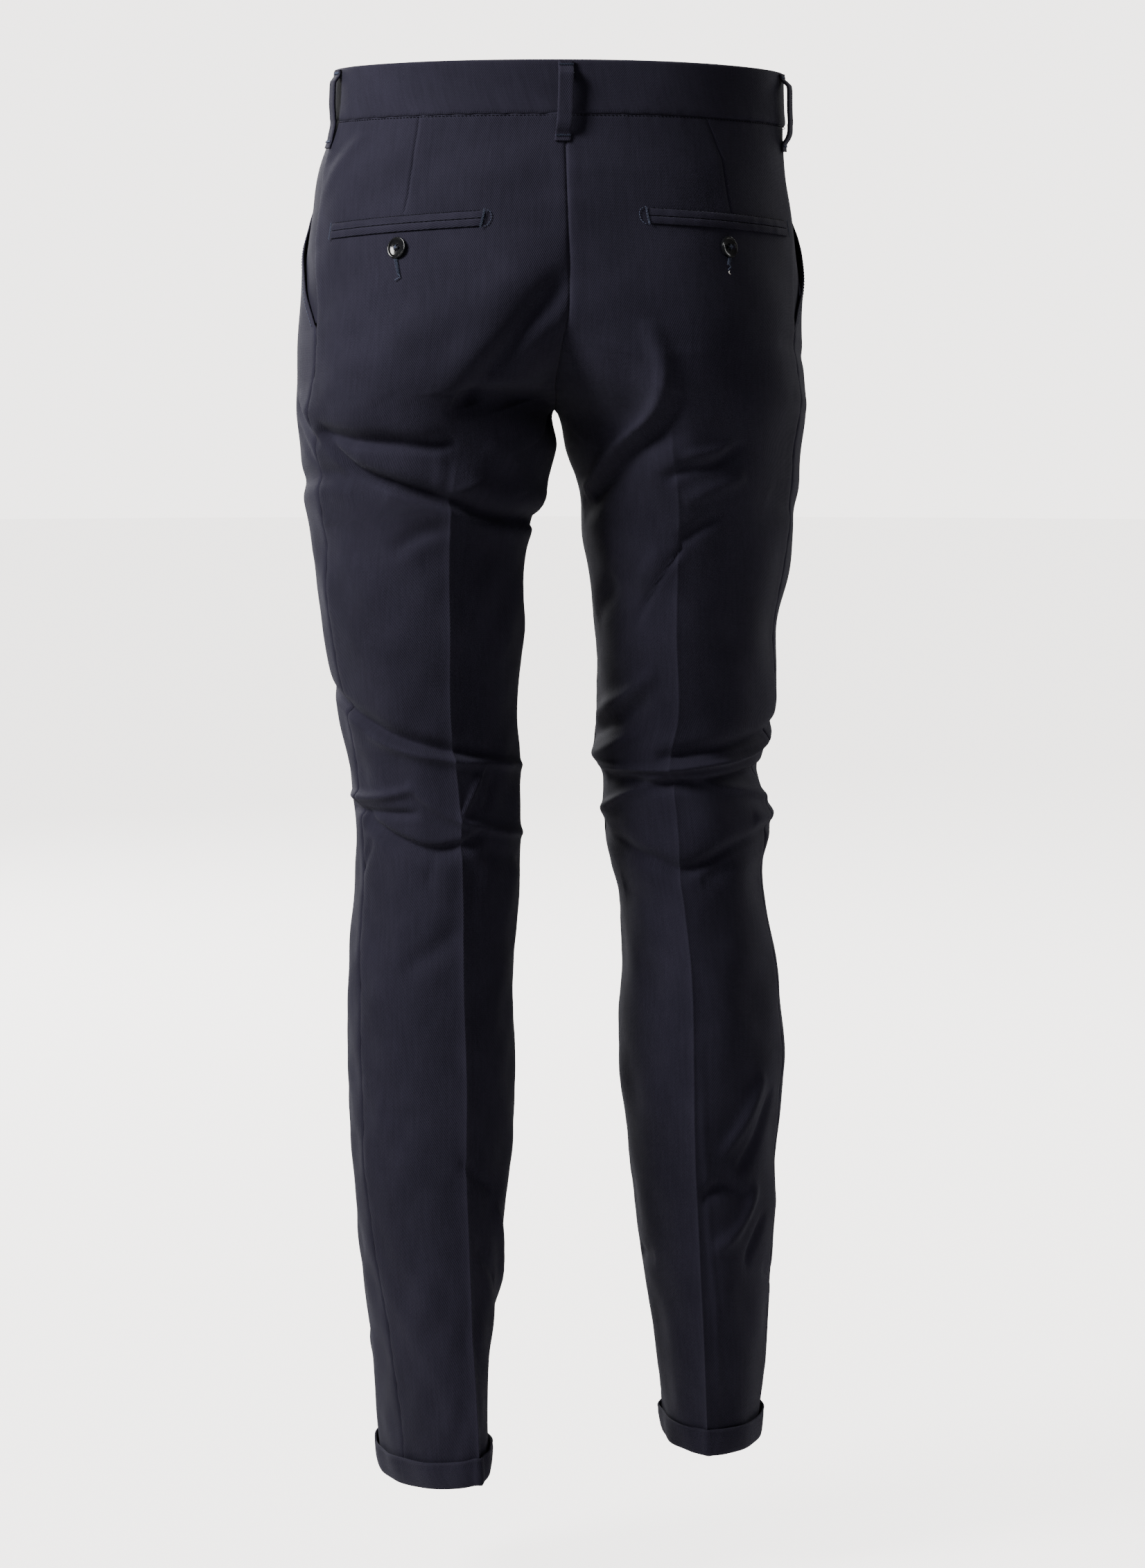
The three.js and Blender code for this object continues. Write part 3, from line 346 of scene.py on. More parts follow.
def section(leg, z, angle):
    """The bare section of a leg, without creases, in its own plane."""
    row = leg_at(leg, z)
    deep = np.where(np.sin(np.radians(angle)) > 0, row["back"], row["front"])
    reach = (row["outer"] - row["inner"]) / 2
    swing = np.minimum((row["back"] + row["front"]) / 2 * sin_deg(row["toe"]), TOE_SWING_LIMIT * reach)
    wide = np.sqrt(reach**2 - swing**2) / cos_deg(row["toe"])
    x = wide * signed_power(cos_deg(angle), 2 / row["bulk"])
    y = deep * signed_power(sin_deg(angle), 2 / row["bulk"])
    return (
        (row["outer"] + row["inner"]) / 2 + x * cos_deg(row["toe"]) - y * sin_deg(row["toe"]),
        row["ahead"] + x * sin_deg(row["toe"]) + y * cos_deg(row["toe"]),
    )


def crease_angle(leg, z, face):
    """Where the pressed crease runs: down the middle of the seat, then square to the leg."""
    level = np.maximum(z, CROTCH_Z)
    seam = SIDE[leg] * seam_at(level)[face]
    x = SIDE[leg] * lerp(seam, leg_at(leg, level)["outer"], CREASE_SHARE[face])
    angle = angle_at_x(leg, level, x, face)
    lean = np.clip(1 - leg_at(leg, z)["toe"] / CREASE_FREE_TOE, 0, 1)
    square = 90.0 if face == "back" else -90.0
    return np.where(z >= CROTCH_Z, angle, lerp(square, angle, lean))


def smooth_line(points, steps=6):
    """A rounded line through points, as many short runs."""
    p = np.array(points, float)
    p = np.vstack([2 * p[0] - p[1], p, 2 * p[-1] - p[-2]])
    t = np.linspace(0, 1, steps, endpoint=False)[:, None]
    runs = [
        0.5 * (2 * b + (c - a) * t + (2 * a - 5 * b + 4 * c - d) * t**2 + (3 * b - a - 3 * c + d) * t**3)
        for a, b, c, d in zip(p[:-3], p[1:-2], p[2:-1], p[3:])
    ]
    return np.vstack(runs + [p[-2:-1]])


FOLD_LINES = [
    (leg, smooth_line([(a * MM_PER_DEGREE, z) for a, z in places]), rise, above, below)
    for leg, places, rise, above, below in FOLDS
]
# A fold is worked out this many of its widths away, and its two widths blend over a share of each
FOLD_REACH, FOLD_BLEND = 2.6, 0.25
# How fast a fold rises from its ends, and the share of its height that its ends keep
FOLD_FULLNESS, FOLD_END_SHARE = 4.4, 0.08


def fold_height(leg, angle, z):
    """How far all the folds of a leg lift its cloth."""
    total = np.zeros(np.broadcast(angle, z).shape)
    z = np.broadcast_to(z, total.shape)
    for own, line, rise, above, below in FOLD_LINES:
        if own != leg:
            continue
        middle = line[:, 0].mean() / MM_PER_DEGREE
        x = (angle + 360 * np.round((middle - angle) / 360)) * MM_PER_DEGREE
        far = FOLD_REACH * max(above, below)
        near = (x > line[:, 0].min() - far) & (x < line[:, 0].max() + far)
        near &= (z > line[:, 1].min() - far) & (z < line[:, 1].max() + far)
        if not near.any():
            continue
        place = np.stack([x[near], z[near]], -1)
        best = np.full(len(place), np.inf)
        along, over = np.zeros(len(place)), np.zeros(len(place))
        for i, (start, end) in enumerate(zip(line[:-1], line[1:])):
            run = end - start
            share = np.clip((place - start) @ run / (run @ run), 0, 1)
            off = place - (start + share[:, None] * run)
            distance = np.hypot(off[:, 0], off[:, 1])
            closer = distance < best
            best = np.where(closer, distance, best)
            along = np.where(closer, (i + share) / (len(line) - 1), along)
            over = np.where(closer, off[:, 1], over)
        width = lerp(below, above, smoothstep(over, -FOLD_BLEND * below, FOLD_BLEND * above))
        fade = np.minimum(1, np.sqrt(np.clip(FOLD_FULLNESS * along * (1 - along), 0, None)) + FOLD_END_SHARE)
        total[near] += rise * fade * bell(best, width)
    return total


# Slow rumples of worn cotton: turns round the leg, length down it, height, phase
RUMPLE_SEED = 11
RUMPLE_COUNT = 26
RUMPLE_TURNS, RUMPLE_LENGTHS, RUMPLE_HEIGHTS = (1, 13), (45, 230), (0.06, 0.22)
# The share of them that the waistband keeps, and the depths between which they grow
RUMPLE_BAND_SHARE, RUMPLE_GROWTH = 0.25, (36, 90)
rumple_draw = np.random.default_rng(RUMPLE_SEED)
RUMPLES = {
    leg: [
        (
            int(rumple_draw.integers(*RUMPLE_TURNS)),
            rumple_draw.uniform(*RUMPLE_LENGTHS) * rumple_draw.choice([-1, 1]),
            rumple_draw.uniform(*RUMPLE_HEIGHTS),
            rumple_draw.uniform(0, 2 * math.pi),
        )
        for _ in range(RUMPLE_COUNT)
    ]
    for leg in SIDE
}


def rumple_height(leg, angle, z):
    """How far the slow rumples lift a leg's cloth."""
    below_band = smoothstep(-np.asarray(z, float), *RUMPLE_GROWTH)
    total = sum(
        high * np.sin(turns * np.radians(angle) + 2 * math.pi * z / length + phase)
        for turns, length, high, phase in RUMPLES[leg]
    )
    return total * lerp(RUMPLE_BAND_SHARE, 1.0, below_band)


# Steps over which the cloth's direction is measured, in degrees and in millimetres of height
TANGENT_STEP, NORMAL_TURN, NORMAL_DROP = 0.5, 1.0, 1.5


def cloth(leg, angle, z, bare=False):
    """Places on the outside of the cloth, in millimetres."""
    angle, z = np.broadcast_arrays(np.asarray(angle, float), np.asarray(z, float))
    x, y = section(leg, z, angle)
    x1, y1 = section(leg, z, angle + TANGENT_STEP)
    x0, y0 = section(leg, z, angle - TANGENT_STEP)
    run = np.stack([x1 - x0, y1 - y0], -1)
    run /= np.linalg.norm(run, axis=-1, keepdims=True)
    away = np.where(
        angle > 0,
        np.abs(angle - crease_angle(leg, z, "back")),
        np.abs(angle - crease_angle(leg, z, "front")),
    ) * MM_PER_DEGREE
    starts = smoothstep(-z, -CREASE_TOP_Z[leg][0], -CREASE_TOP_Z[leg][1])
    roof = CREASE_ROOF[leg] * (1 - KNEE_ROOF_LOSS * bell(z - KNEE_Z[leg], KNEE_HALF_HEIGHT))
    rise = roof * np.exp(-away / CREASE_SPREAD) + CREASE_LINE[leg] * np.exp(-away / CREASE_LINE_WIDTH)
    rise = rise * starts * leg_at(leg, z)["crease"]
    rise = rise + fold_height(leg, angle, z)
    if not bare:
        rise = rise + rumple_height(leg, angle, z)
    return np.stack([SIDE[leg] * (x + run[..., 1] * rise), y - run[..., 0] * rise, z], -1)


def cloth_normal(leg, angle, z):
    """The direction out of the cloth."""
    across = cloth(leg, angle + NORMAL_TURN, z) - cloth(leg, angle - NORMAL_TURN, z)
    down = cloth(leg, angle, z - NORMAL_DROP) - cloth(leg, angle, z + NORMAL_DROP)
    normal = np.cross(down, across) * SIDE[leg]
    return normal / np.linalg.norm(normal, axis=-1, keepdims=True)


def waist_rise(leg, angle, z):
    """How far the waist's dip at the front and the sides moves a height."""
    middle = np.where(angle > 0, BAND_RISE_BACK, BAND_DIP_FRONT)
    rise = lerp(BAND_DIP_SIDE[leg], middle, sin_deg(angle) ** 2)
    return rise * np.clip((z - DIP_FADE_Z) / (-BAND_HEIGHT - DIP_FADE_Z), 0, 1)


def hem_rise(leg, angle, z):
    """How far a tilted hem moves a height."""
    side, back = HEM_TILT[leg]
    share = np.clip((HEM_TILT_TOP_Z - z) / (HEM_TILT_TOP_Z - HEM_Z), 0, 1)
    return share * (side * cos_deg(angle) + back * sin_deg(angle))


def unit(v):
    """Vectors brought to length one."""
    return v / np.maximum(np.linalg.norm(v, axis=-1, keepdims=True), 1e-9)


def run_length(points):
    """Distance along each row of a grid of points, from its first column."""
    step = np.linalg.norm(np.diff(points, axis=1), axis=-1)
    return np.concatenate([np.zeros((len(points), 1)), np.cumsum(step, axis=1)], axis=1)


def grid_normals(points, sign):
    """Directions out of a grid of points."""
    down, across = np.gradient(points, axis=0), np.gradient(points, axis=1)
    return unit(np.cross(down, across)) * sign


# Meshes


def make_object(name, verts, faces, material, uv=None, wear=None):
    """A smooth mesh with its map of the cloth and its wear."""
    mesh = bpy.data.meshes.new(name)
    mesh.from_pydata((np.asarray(verts) * MM).tolist(), [], faces)
    mesh.update()
    if uv is not None:
        layer = mesh.uv_layers.new(name="grain")
        loops = np.zeros(len(mesh.loops), int)
        mesh.loops.foreach_get("vertex_index", loops)
        layer.data.foreach_set("uv", (np.asarray(uv) * MM)[loops].ravel())
    if wear is not None:
        worn = mesh.attributes.new("wear", "FLOAT", "POINT")
        worn.data.foreach_set("value", np.asarray(wear, float).ravel())
    mesh.materials.append(material)
    mesh.polygons.foreach_set("use_smooth", [True] * len(mesh.polygons))
    piece = bpy.data.objects.new(name, mesh)
    bpy.context.scene.collection.objects.link(piece)
    return piece


def grid_faces(rows, columns, sign):
    """The quads of a grid, wound so that they face outwards."""
    r, c = np.meshgrid(np.arange(rows - 1), np.arange(columns - 1), indexing="ij")
    d = c + 1
    a, b, e, f = r * columns + c, (r + 1) * columns + c, (r + 1) * columns + d, r * columns + d
    order = [a, b, e, f] if sign > 0 else [a, f, e, b]
    return np.stack(order, -1).reshape(-1, 4).tolist()


# Where on the cloth map the chosen column's top lies, in millimetres
GRAIN_ACROSS, GRAIN_DOWN = 300, 20


def grain(points, column):
    """Lengths on the cloth across and down the grain, from one column of the grid."""
    across = run_length(points)
    across = across - across[:, column : column + 1]
    down = run_length(points.transpose(1, 0, 2)[column : column + 1])[0]
    return np.stack([across + GRAIN_ACROSS, np.broadcast_to(down[:, None], across.shape) + GRAIN_DOWN], -1)


def grid_piece(name, points, sign, material, thick, uv=None, wear=None):
    """A grid of points as cloth of some thickness."""
    rows, columns = points.shape[:2]
    if uv is None:
        uv = grain(points, columns // 2)
    wear = np.zeros((rows, columns)) if wear is None else wear
    faces = grid_faces(rows, columns, sign)
    piece = make_object(name, points.reshape(-1, 3), faces, material, uv.reshape(-1, 2), wear)
    apply_solidify(piece, thick)
    return piece


def select_none():
    for o in bpy.context.selected_objects:
        o.select_set(False)


def select_only(piece):
    select_none()
    piece.select_set(True)
    bpy.context.view_layer.objects.active = piece


def apply_solidify(piece, thick):
    select_only(piece)
    wall = piece.modifiers.new("wall", "SOLIDIFY")
    wall.thickness = thick * MM
    wall.offset = -1
    bpy.ops.object.modifier_apply(modifier="wall")


def hang(piece, slot, *nodes):
    """Hangs a piece from the root body and hides the solids that it stands for; its slot is not used."""
    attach(piece, "root")
    if nodes:
        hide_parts(*nodes)
    return piece


def declare_cut(points):
    """Works out a sheet's longest run down, from its outer side, and keeps nothing of it."""
    down = run_length(points.transpose(1, 0, 2))[:, -1].max() * MM


# Materials


def group_socket(group, name, kind, default=None, out=False):
    socket = group.interface.new_socket(name=name, in_out="OUTPUT" if out else "INPUT", socket_type=kind)
    if default is not None:
        socket.default_value = default


def link(tree, *pairs):
    """Joins pairs of sockets."""
    for a, b in pairs:
        tree.links.new(a, b)


def math_node(tree, operation, a, b=None, c=None):
    """A maths node whose inputs are numbers or sockets; gives its output."""
    node = tree.nodes.new("ShaderNodeMath")
    node.operation = operation
    for i, value in enumerate([a, b, c]):
        if value is None:
            continue
        if isinstance(value, (int, float)):
            node.inputs[i].default_value = value
        else:
            tree.links.new(value, node.inputs[i])
    return node.outputs[0]


def noise_node(tree, scale, detail, place):
    node = tree.nodes.new("ShaderNodeTexNoise")
    node.inputs["Scale"].default_value = scale
    node.inputs["Detail"].default_value = detail
    tree.links.new(place, node.inputs["Vector"])
    return node


# The weave: rib and weft in millimetres, every height as a share of a rib's, every scale for a metre
RIB_SLOPE = 0.5
WEFT_PITCH, WEFT_HEIGHT = 0.6, 0.18
SLUB_SCALE, SLUB_WANDER, SLUB_HEIGHT = 900, 0.5, 0.5
MOTTLE_SCALE, MOTTLE_ROUGHNESS, MOTTLE_SHARE = 14, 0.62, 0.68
STREAK_SCALE, STREAK_STRETCH, STREAK_LEAN = 420, (1.0, 0.09, 1.0), 4
STREAK_HEIGHT, STREAK_SHARE = 0.6, 0.32
LINT_SCALE, LINT_RARITY, LINT_RADIUS = 36, 0.93, 0.02


def twill_group():
    """Diagonal ribs of a cotton twill with uneven yarns; its height and a mask of the ribs' tops."""
    group = bpy.data.node_groups.new("twill weave", "ShaderNodeTree")
    group_socket(group, "Grain", "NodeSocketVector")
    group_socket(group, "Rib pitch mm", "NodeSocketFloat", 1.1)
    group_socket(group, "Height", "NodeSocketFloat", out=True)
    group_socket(group, "Ribs", "NodeSocketFloat", out=True)
    group_socket(group, "Mottle", "NodeSocketFloat", out=True)
    group_socket(group, "Lint", "NodeSocketFloat", out=True)
    source, target = group.nodes.new("NodeGroupInput"), group.nodes.new("NodeGroupOutput")
    split = group.nodes.new("ShaderNodeSeparateXYZ")
    link(group, (source.outputs["Grain"], split.inputs[0]))
    across = math_node(group, "MULTIPLY", split.outputs["X"], 1000.0)
    down = math_node(group, "MULTIPLY", split.outputs["Y"], 1000.0)
    slub = noise_node(group, SLUB_SCALE, 2, source.outputs["Grain"])
    wander = math_node(group, "MULTIPLY_ADD", slub.outputs["Fac"], SLUB_WANDER, -SLUB_WANDER / 2)
    diagonal = math_node(group, "ADD", math_node(group, "MULTIPLY_ADD", down, RIB_SLOPE, across), wander)
    turns = math_node(group, "DIVIDE", diagonal, source.outputs["Rib pitch mm"])
    rib = math_node(group, "SINE", math_node(group, "MULTIPLY", turns, 2 * math.pi))
    weft = math_node(group, "SINE", math_node(group, "MULTIPLY", down, 2 * math.pi / WEFT_PITCH))
    ribs = math_node(group, "MULTIPLY_ADD", rib, 0.5, 0.5)
    height = math_node(group, "ADD", ribs, math_node(group, "MULTIPLY", weft, WEFT_HEIGHT))
    height = math_node(group, "ADD", height, math_node(group, "MULTIPLY", slub.outputs["Fac"], SLUB_HEIGHT))
    mottle = noise_node(group, MOTTLE_SCALE, 5, source.outputs["Grain"])
    mottle.inputs["Roughness"].default_value = MOTTLE_ROUGHNESS
    stretched = group.nodes.new("ShaderNodeMapping")
    stretched.inputs["Scale"].default_value = STREAK_STRETCH
    stretched.inputs["Rotation"].default_value = (0, 0, math.radians(STREAK_LEAN))
    link(group, (source.outputs["Grain"], stretched.inputs["Vector"]))
    streaks = noise_node(group, STREAK_SCALE, 3, stretched.outputs[0])
    streaked = math_node(group, "MULTIPLY", streaks.outputs["Fac"], STREAK_HEIGHT)
    height = math_node(group, "ADD", height, streaked)
    blotches = math_node(group, "MULTIPLY", mottle.outputs["Fac"], MOTTLE_SHARE)
    mottled = math_node(group, "MULTIPLY_ADD", streaks.outputs["Fac"], STREAK_SHARE, blotches)
    specks = group.nodes.new("ShaderNodeTexVoronoi")
    specks.inputs["Scale"].default_value = LINT_SCALE
    link(group, (source.outputs["Grain"], specks.inputs["Vector"]))
    chosen = group.nodes.new("ShaderNodeSeparateColor")
    link(group, (specks.outputs["Color"], chosen.inputs[0]))
    rare = math_node(group, "GREATER_THAN", chosen.outputs[0], LINT_RARITY)
    tiny = math_node(group, "LESS_THAN", specks.outputs["Distance"], LINT_RADIUS)
    link(
        group,
        (height, target.inputs["Height"]),
        (ribs, target.inputs["Ribs"]),
        (mottled, target.inputs["Mottle"]),
        (math_node(group, "MULTIPLY", rare, tiny), target.inputs["Lint"]),
    )
    return group


TWILL = twill_group()


def mix_color(tree, fac, a, b):
    """A mix of two colours; gives its output."""
    node = tree.nodes.new("ShaderNodeMix")
    node.data_type = "RGBA"
    for socket, value in ((node.inputs["Factor"], fac), (node.inputs["A"], a), (node.inputs["B"], b)):
        if isinstance(value, (tuple, float, int)):
            socket.default_value = value
        else:
            tree.links.new(value, socket)
    return node.outputs["Result"]


# The mottle's range from the dark shade to the light one, and how far ribs and edges wear paler
MOTTLE_DARK, MOTTLE_LIGHT = 0.38, 0.62
RIB_WEAR, EDGE_WEAR = 0.3, 0.45
LINT_COLOR = (0.7, 0.7, 0.72, 1)
RELIEF_STRENGTH = 0.6
CLOTH_ROUGHNESS, RIB_POLISH, CLOTH_SPECULAR = 0.9, -0.06, 0.16
SHEEN, SHEEN_ROUGHNESS, SHEEN_TINT = 0.07, 0.45, (0.55, 0.56, 0.68, 1)


def cloth_material(name, dark, light, worn, bump, rib_pitch):
    """Woven cotton between two shades, paler where it is worn."""
    material = bpy.data.materials.new(name)
    material.use_nodes = True
    tree = material.node_tree
    shader = tree.nodes["Principled BSDF"]
    uv = tree.nodes.new("ShaderNodeUVMap")
    uv.uv_map = "grain"
    weave = tree.nodes.new("ShaderNodeGroup")
    weave.node_tree = TWILL
    weave.inputs["Rib pitch mm"].default_value = rib_pitch
    wear = tree.nodes.new("ShaderNodeAttribute")
    wear.attribute_name = "wear"
    ramp = tree.nodes.new("ShaderNodeMapRange")
    ramp.inputs["From Min"].default_value = MOTTLE_DARK
    ramp.inputs["From Max"].default_value = MOTTLE_LIGHT
    link(tree, (uv.outputs[0], weave.inputs["Grain"]), (weave.outputs["Mottle"], ramp.inputs["Value"]))
    base = mix_color(tree, ramp.outputs[0], dark, light)
    shaded = math_node(tree, "MULTIPLY", weave.outputs["Ribs"], RIB_WEAR)
    base = mix_color(tree, shaded, base, worn)
    base = mix_color(tree, math_node(tree, "MULTIPLY", wear.outputs["Fac"], EDGE_WEAR), base, worn)
    base = mix_color(tree, weave.outputs["Lint"], base, LINT_COLOR)
    relief = tree.nodes.new("ShaderNodeBump")
    relief.inputs["Distance"].default_value = bump
    relief.inputs["Strength"].default_value = RELIEF_STRENGTH
    rough = math_node(tree, "MULTIPLY_ADD", weave.outputs["Ribs"], RIB_POLISH, CLOTH_ROUGHNESS)
    link(
        tree,
        (base, shader.inputs["Base Color"]),
        (weave.outputs["Height"], relief.inputs["Height"]),
        (relief.outputs[0], shader.inputs["Normal"]),
        (rough, shader.inputs["Roughness"]),
    )
    shader.inputs["Specular IOR Level"].default_value = CLOTH_SPECULAR
    shader.inputs["Sheen Weight"].default_value = SHEEN
    shader.inputs["Sheen Roughness"].default_value = SHEEN_ROUGHNESS
    shader.inputs["Sheen Tint"].default_value = SHEEN_TINT
    return material


NAVY_TWILL = cloth_material(
    "navy cotton twill",
    dark=(0.0098, 0.0087, 0.0180, 1),
    light=(0.0172, 0.0155, 0.0290, 1),
    worn=(0.0290, 0.0268, 0.0450, 1),
    bump=0.0003,
    rib_pitch=1.3,
)


# A plain finish varies a little in shade and in roughness, in grains of about a millimetre
FINISH_SCALE, SHADE_LOW, SHADE_HIGH, ROUGH_RANGE = 700, 0.7, 1.35, 0.16


def plain_material(name, color, rough, specular):
    """Thread or horn of one colour."""
    material = bpy.data.materials.new(name)
    material.use_nodes = True
    tree = material.node_tree
    shader = tree.nodes["Principled BSDF"]
    place = tree.nodes.new("ShaderNodeTexCoord")
    speckle = noise_node(tree, FINISH_SCALE, 4, place.outputs["Object"]).outputs["Fac"]
    low = tuple(SHADE_LOW * c for c in color[:3]) + (1,)
    high = tuple(SHADE_HIGH * c for c in color[:3]) + (1,)
    uneven = math_node(tree, "MULTIPLY_ADD", speckle, ROUGH_RANGE, rough - ROUGH_RANGE / 2)
    link(
        tree,
        (mix_color(tree, speckle, low, high), shader.inputs["Base Color"]),
        (uneven, shader.inputs["Roughness"]),
    )
    shader.inputs["Specular IOR Level"].default_value = specular
    return material


DARK_HORN = plain_material("polished dark horn", (0.006, 0.0062, 0.0075, 1), 0.12, 0.3)
NAVY_THREAD = plain_material("navy sewing thread", (0.048, 0.06, 0.1, 1), 0.7, 0.3)
# Near-black thread: real stitches under the waistband, and dashes that paint the shade in a back pocket's
# slit and in the groove above its upper lip
DARK_THREAD_AND_GROOVE_SHADE = plain_material("dark thread and painted groove shade", (0.003, 0.003, 0.006, 1), 0.8, 0.1)

# The panels

ROW_STEPS = [(-37, 3.1), (-222, 1.45), (-345, 2.9), (-440, 1.25), (-580, 3.7), (-1013, 3.7)]
EDGE_STEPS = [0, 0.4, 0.9, 1.6, 2.6, 4.2]
# Each piece's thickness: folded pieces are thicker than a panel
CLOTH_WALL, FACING_WALL, WELT_WALL, BAND_WALL, FLY_WALL, LOOP_WALL = 1.1, 0.9, 1.0, 1.9, 1.0, 1.6
SEAM_ROLL, SEAM_ROLL_WIDTH = 0.85, 1.0
TOP_TUCK = 2.0
CENTRE_BLEND, CENTRE_PHASE = 2.5, {"back": 1.9, "front": 4.1}
# A panel's columns, for a half of the usual width, and the first rows under the waistband
HALF_PANEL_WIDTH, INSIDE_COLUMNS = 118.0, 38
CREASE_STEPS = [0, 0.8, 1.8, 3.4]
TOP_STEPS = [0, 0.4, 0.9, 1.6, 2.6, 4.0, 6.4]
LEAST_LAST_STEP = 3.5
ROW_BEND = 1.5
# Beside a seam the cloth stands up, then waves: height, place or period, and width
SEAM_LIFT, SEAM_LIFT_PLACE, SEAM_LIFT_WIDTH = 0.35, 5, 4.5
SEAM_PUCKER, SEAM_PUCKER_PERIOD, SEAM_PUCKER_FADE = 0.16, 21, 7
TOP_PUCKER, TOP_PUCKER_PERIOD, TOP_PUCKER_FADE = 0.12, 13, 6
# The slant pocket's edge rolls and waves less
POCKET_EDGE_ROLL, POCKET_EDGE_WAVE = 0.25, 0.3
# A dart: its groove and the swell beside it, in millimetres, and the depths where it starts and ends
DART_GROOVE, DART_GROOVE_WIDTH, DART_SWELL, DART_SWELL_PLACE = 0.75, 0.8, 0.3, 4
DART_TOP, DART_FOOT, DART_MM_PER_DEGREE = (37, 40), (100, 106), 2.1
DART_COLUMN_BLEND = (108, 170)
# Paler wear: how far it reaches from side edges, from the top and from the crease
EDGE_WEAR_REACH, TOP_WEAR, TOP_WEAR_REACH, CREASE_WEAR, CREASE_WEAR_STARTS = 1.6, 0.8, 1.4, 0.55, (200, 330)

seam_z = lerp(-BAND_HEIGHT, CROTCH_Z, 1 - (1 - np.linspace(0, 1, 401)) ** 2)
seam_edge = cloth("left", angle_at_x("left", seam_z, seam_at(seam_z)["back"], "back"), seam_z, bare=True)
seam_run = np.concatenate([[0], np.cumsum(np.linalg.norm(np.diff(seam_edge, axis=0), axis=1))])


def inner_level(z_side):
    """The height at the centre seam or inseam of the row that has a height at the side."""
    share = (-BAND_HEIGHT - z_side) / (-BAND_HEIGHT - SIDE_AT_CROTCH_Z)
    above = np.interp(np.clip(share, 0, 1) * seam_run[-1], seam_run, seam_z)
    meets = np.clip((SIDE_AT_CROTCH_Z - z_side) / (SIDE_AT_CROTCH_Z - INNER_MEETS_Z), 0, 1)
    below = np.where(meets < 1, lerp(CROTCH_Z, INNER_MEETS_Z, meets), z_side)
    return np.where(z_side >= SIDE_AT_CROTCH_Z, above, below)


def front_edge_angle(z):
    """The degrees round of a front panel's outer edge: the slant pocket's cut, then the side seam."""
    side, foot = seam_at(z)["side"], seam_at(POCKET_FOOT_Z)["side"]
    share = (-BAND_HEIGHT - z) / (-BAND_HEIGHT - POCKET_FOOT_Z)
    return np.where(share < 1, lerp(POCKET_TOP_ANGLE, foot, share), side)


def half_columns(extra=()):
    """Shares across half a panel, close together at its edge, at its crease and at a dart."""
    edge = [d / HALF_PANEL_WIDTH for d in EDGE_STEPS]
    crease = [1 - d / HALF_PANEL_WIDTH for d in CREASE_STEPS]
    inside = list(np.linspace(edge[-1], crease[-1], INSIDE_COLUMNS))
    return np.array(sorted(set(edge + crease + inside + [e for e in extra])))


DART_STEPS = [-0.03, -0.018, -0.011, -0.006, -0.003, 0, 0.003, 0.006, 0.011, 0.018]
DART_COLUMNS = [DART_COLUMN + d for d in DART_STEPS]


def dart_angle(leg, z):
    """The degrees round of a back dart at each height."""
    rows = DARTS[leg]
    return np.interp(-np.asarray(z, float), [-r[0] for r in rows], [r[1] for r in rows])


def panel_levels():
    """Heights of a panel's rows at the side, closer together where the folds are."""
    tops, steps = np.array(ROW_STEPS).T
    levels = [-BAND_HEIGHT - d for d in TOP_STEPS]
    while levels[-1] > HEM_Z + LEAST_LAST_STEP:
        at = levels[-1]
        levels.append(at - float(steps[np.searchsorted(-tops, -at, side="right") - 1]))
    return np.array(levels + [HEM_Z])


def panel_grid(leg, face):
    """Angles and heights of a panel's grid."""
    z_side = panel_levels()
    z_inner = inner_level(z_side)
    first = half_columns(DART_COLUMNS if face == "back" else ())
    second = half_columns()
    c = np.concatenate([first / 2, (1 - second[::-1] / 2)[1:]])
    z = lerp(z_side[:, None], z_inner[:, None], c[None, :] ** ROW_BEND)
    start = seam_at(z_side)["side"] if face == "back" else front_edge_angle(z_side)
    end = np.where(
        z_side >= SIDE_AT_CROTCH_Z,
        angle_at_x(leg, z_inner, seam_at(z_inner)[face], face),
        180.0 if face == "back" else -180.0,
    )
    middle = crease_angle(leg, z, face)
    half = len(first)
    share = np.broadcast_to(2 * c, z.shape).copy()
    if face == "back":
        wanted = (dart_angle(leg, z) - start[:, None]) / (middle - start[:, None])
        wanted = lerp(wanted, DART_COLUMN, smoothstep(-z, *DART_COLUMN_BLEND))
        low = share[:, :half]
        share[:, :half] = np.where(
            low < DART_COLUMN,
            low * wanted[:, :half] / DART_COLUMN,
            1 - (1 - low) * (1 - wanted[:, :half]) / (1 - DART_COLUMN),
        )
    angle = np.where(
        np.arange(len(c))[None, :] < half,
        lerp(start[:, None], middle, share),
        lerp(middle, end[:, None], share - 1),
    )
    return c, z_side, z_inner, z, angle, half


def pocket_gape(leg, angle, z):
    """How far the slant pocket's edge stands off."""
    share = np.clip((-BAND_HEIGHT - z) / (-BAND_HEIGHT - POCKET_FOOT_Z), 0, 1)
    away = (angle - front_edge_angle(z)) / POCKET_GAPE_FADE
    return POCKET_GAPE[leg] * np.sin(math.pi * share) ** 2 * np.exp(-(away**2))


def puckers(along, period, phase):
    """Uneven small waves along a sewn seam."""
    return (
        np.sin(2 * math.pi * along / period + phase)
        + 0.6 * np.sin(2 * math.pi * along / (period * 0.61) + 2.1 * phase)
        + 0.5 * np.sin(2 * math.pi * along / (period * 1.73) + 0.7 * phase)
    )


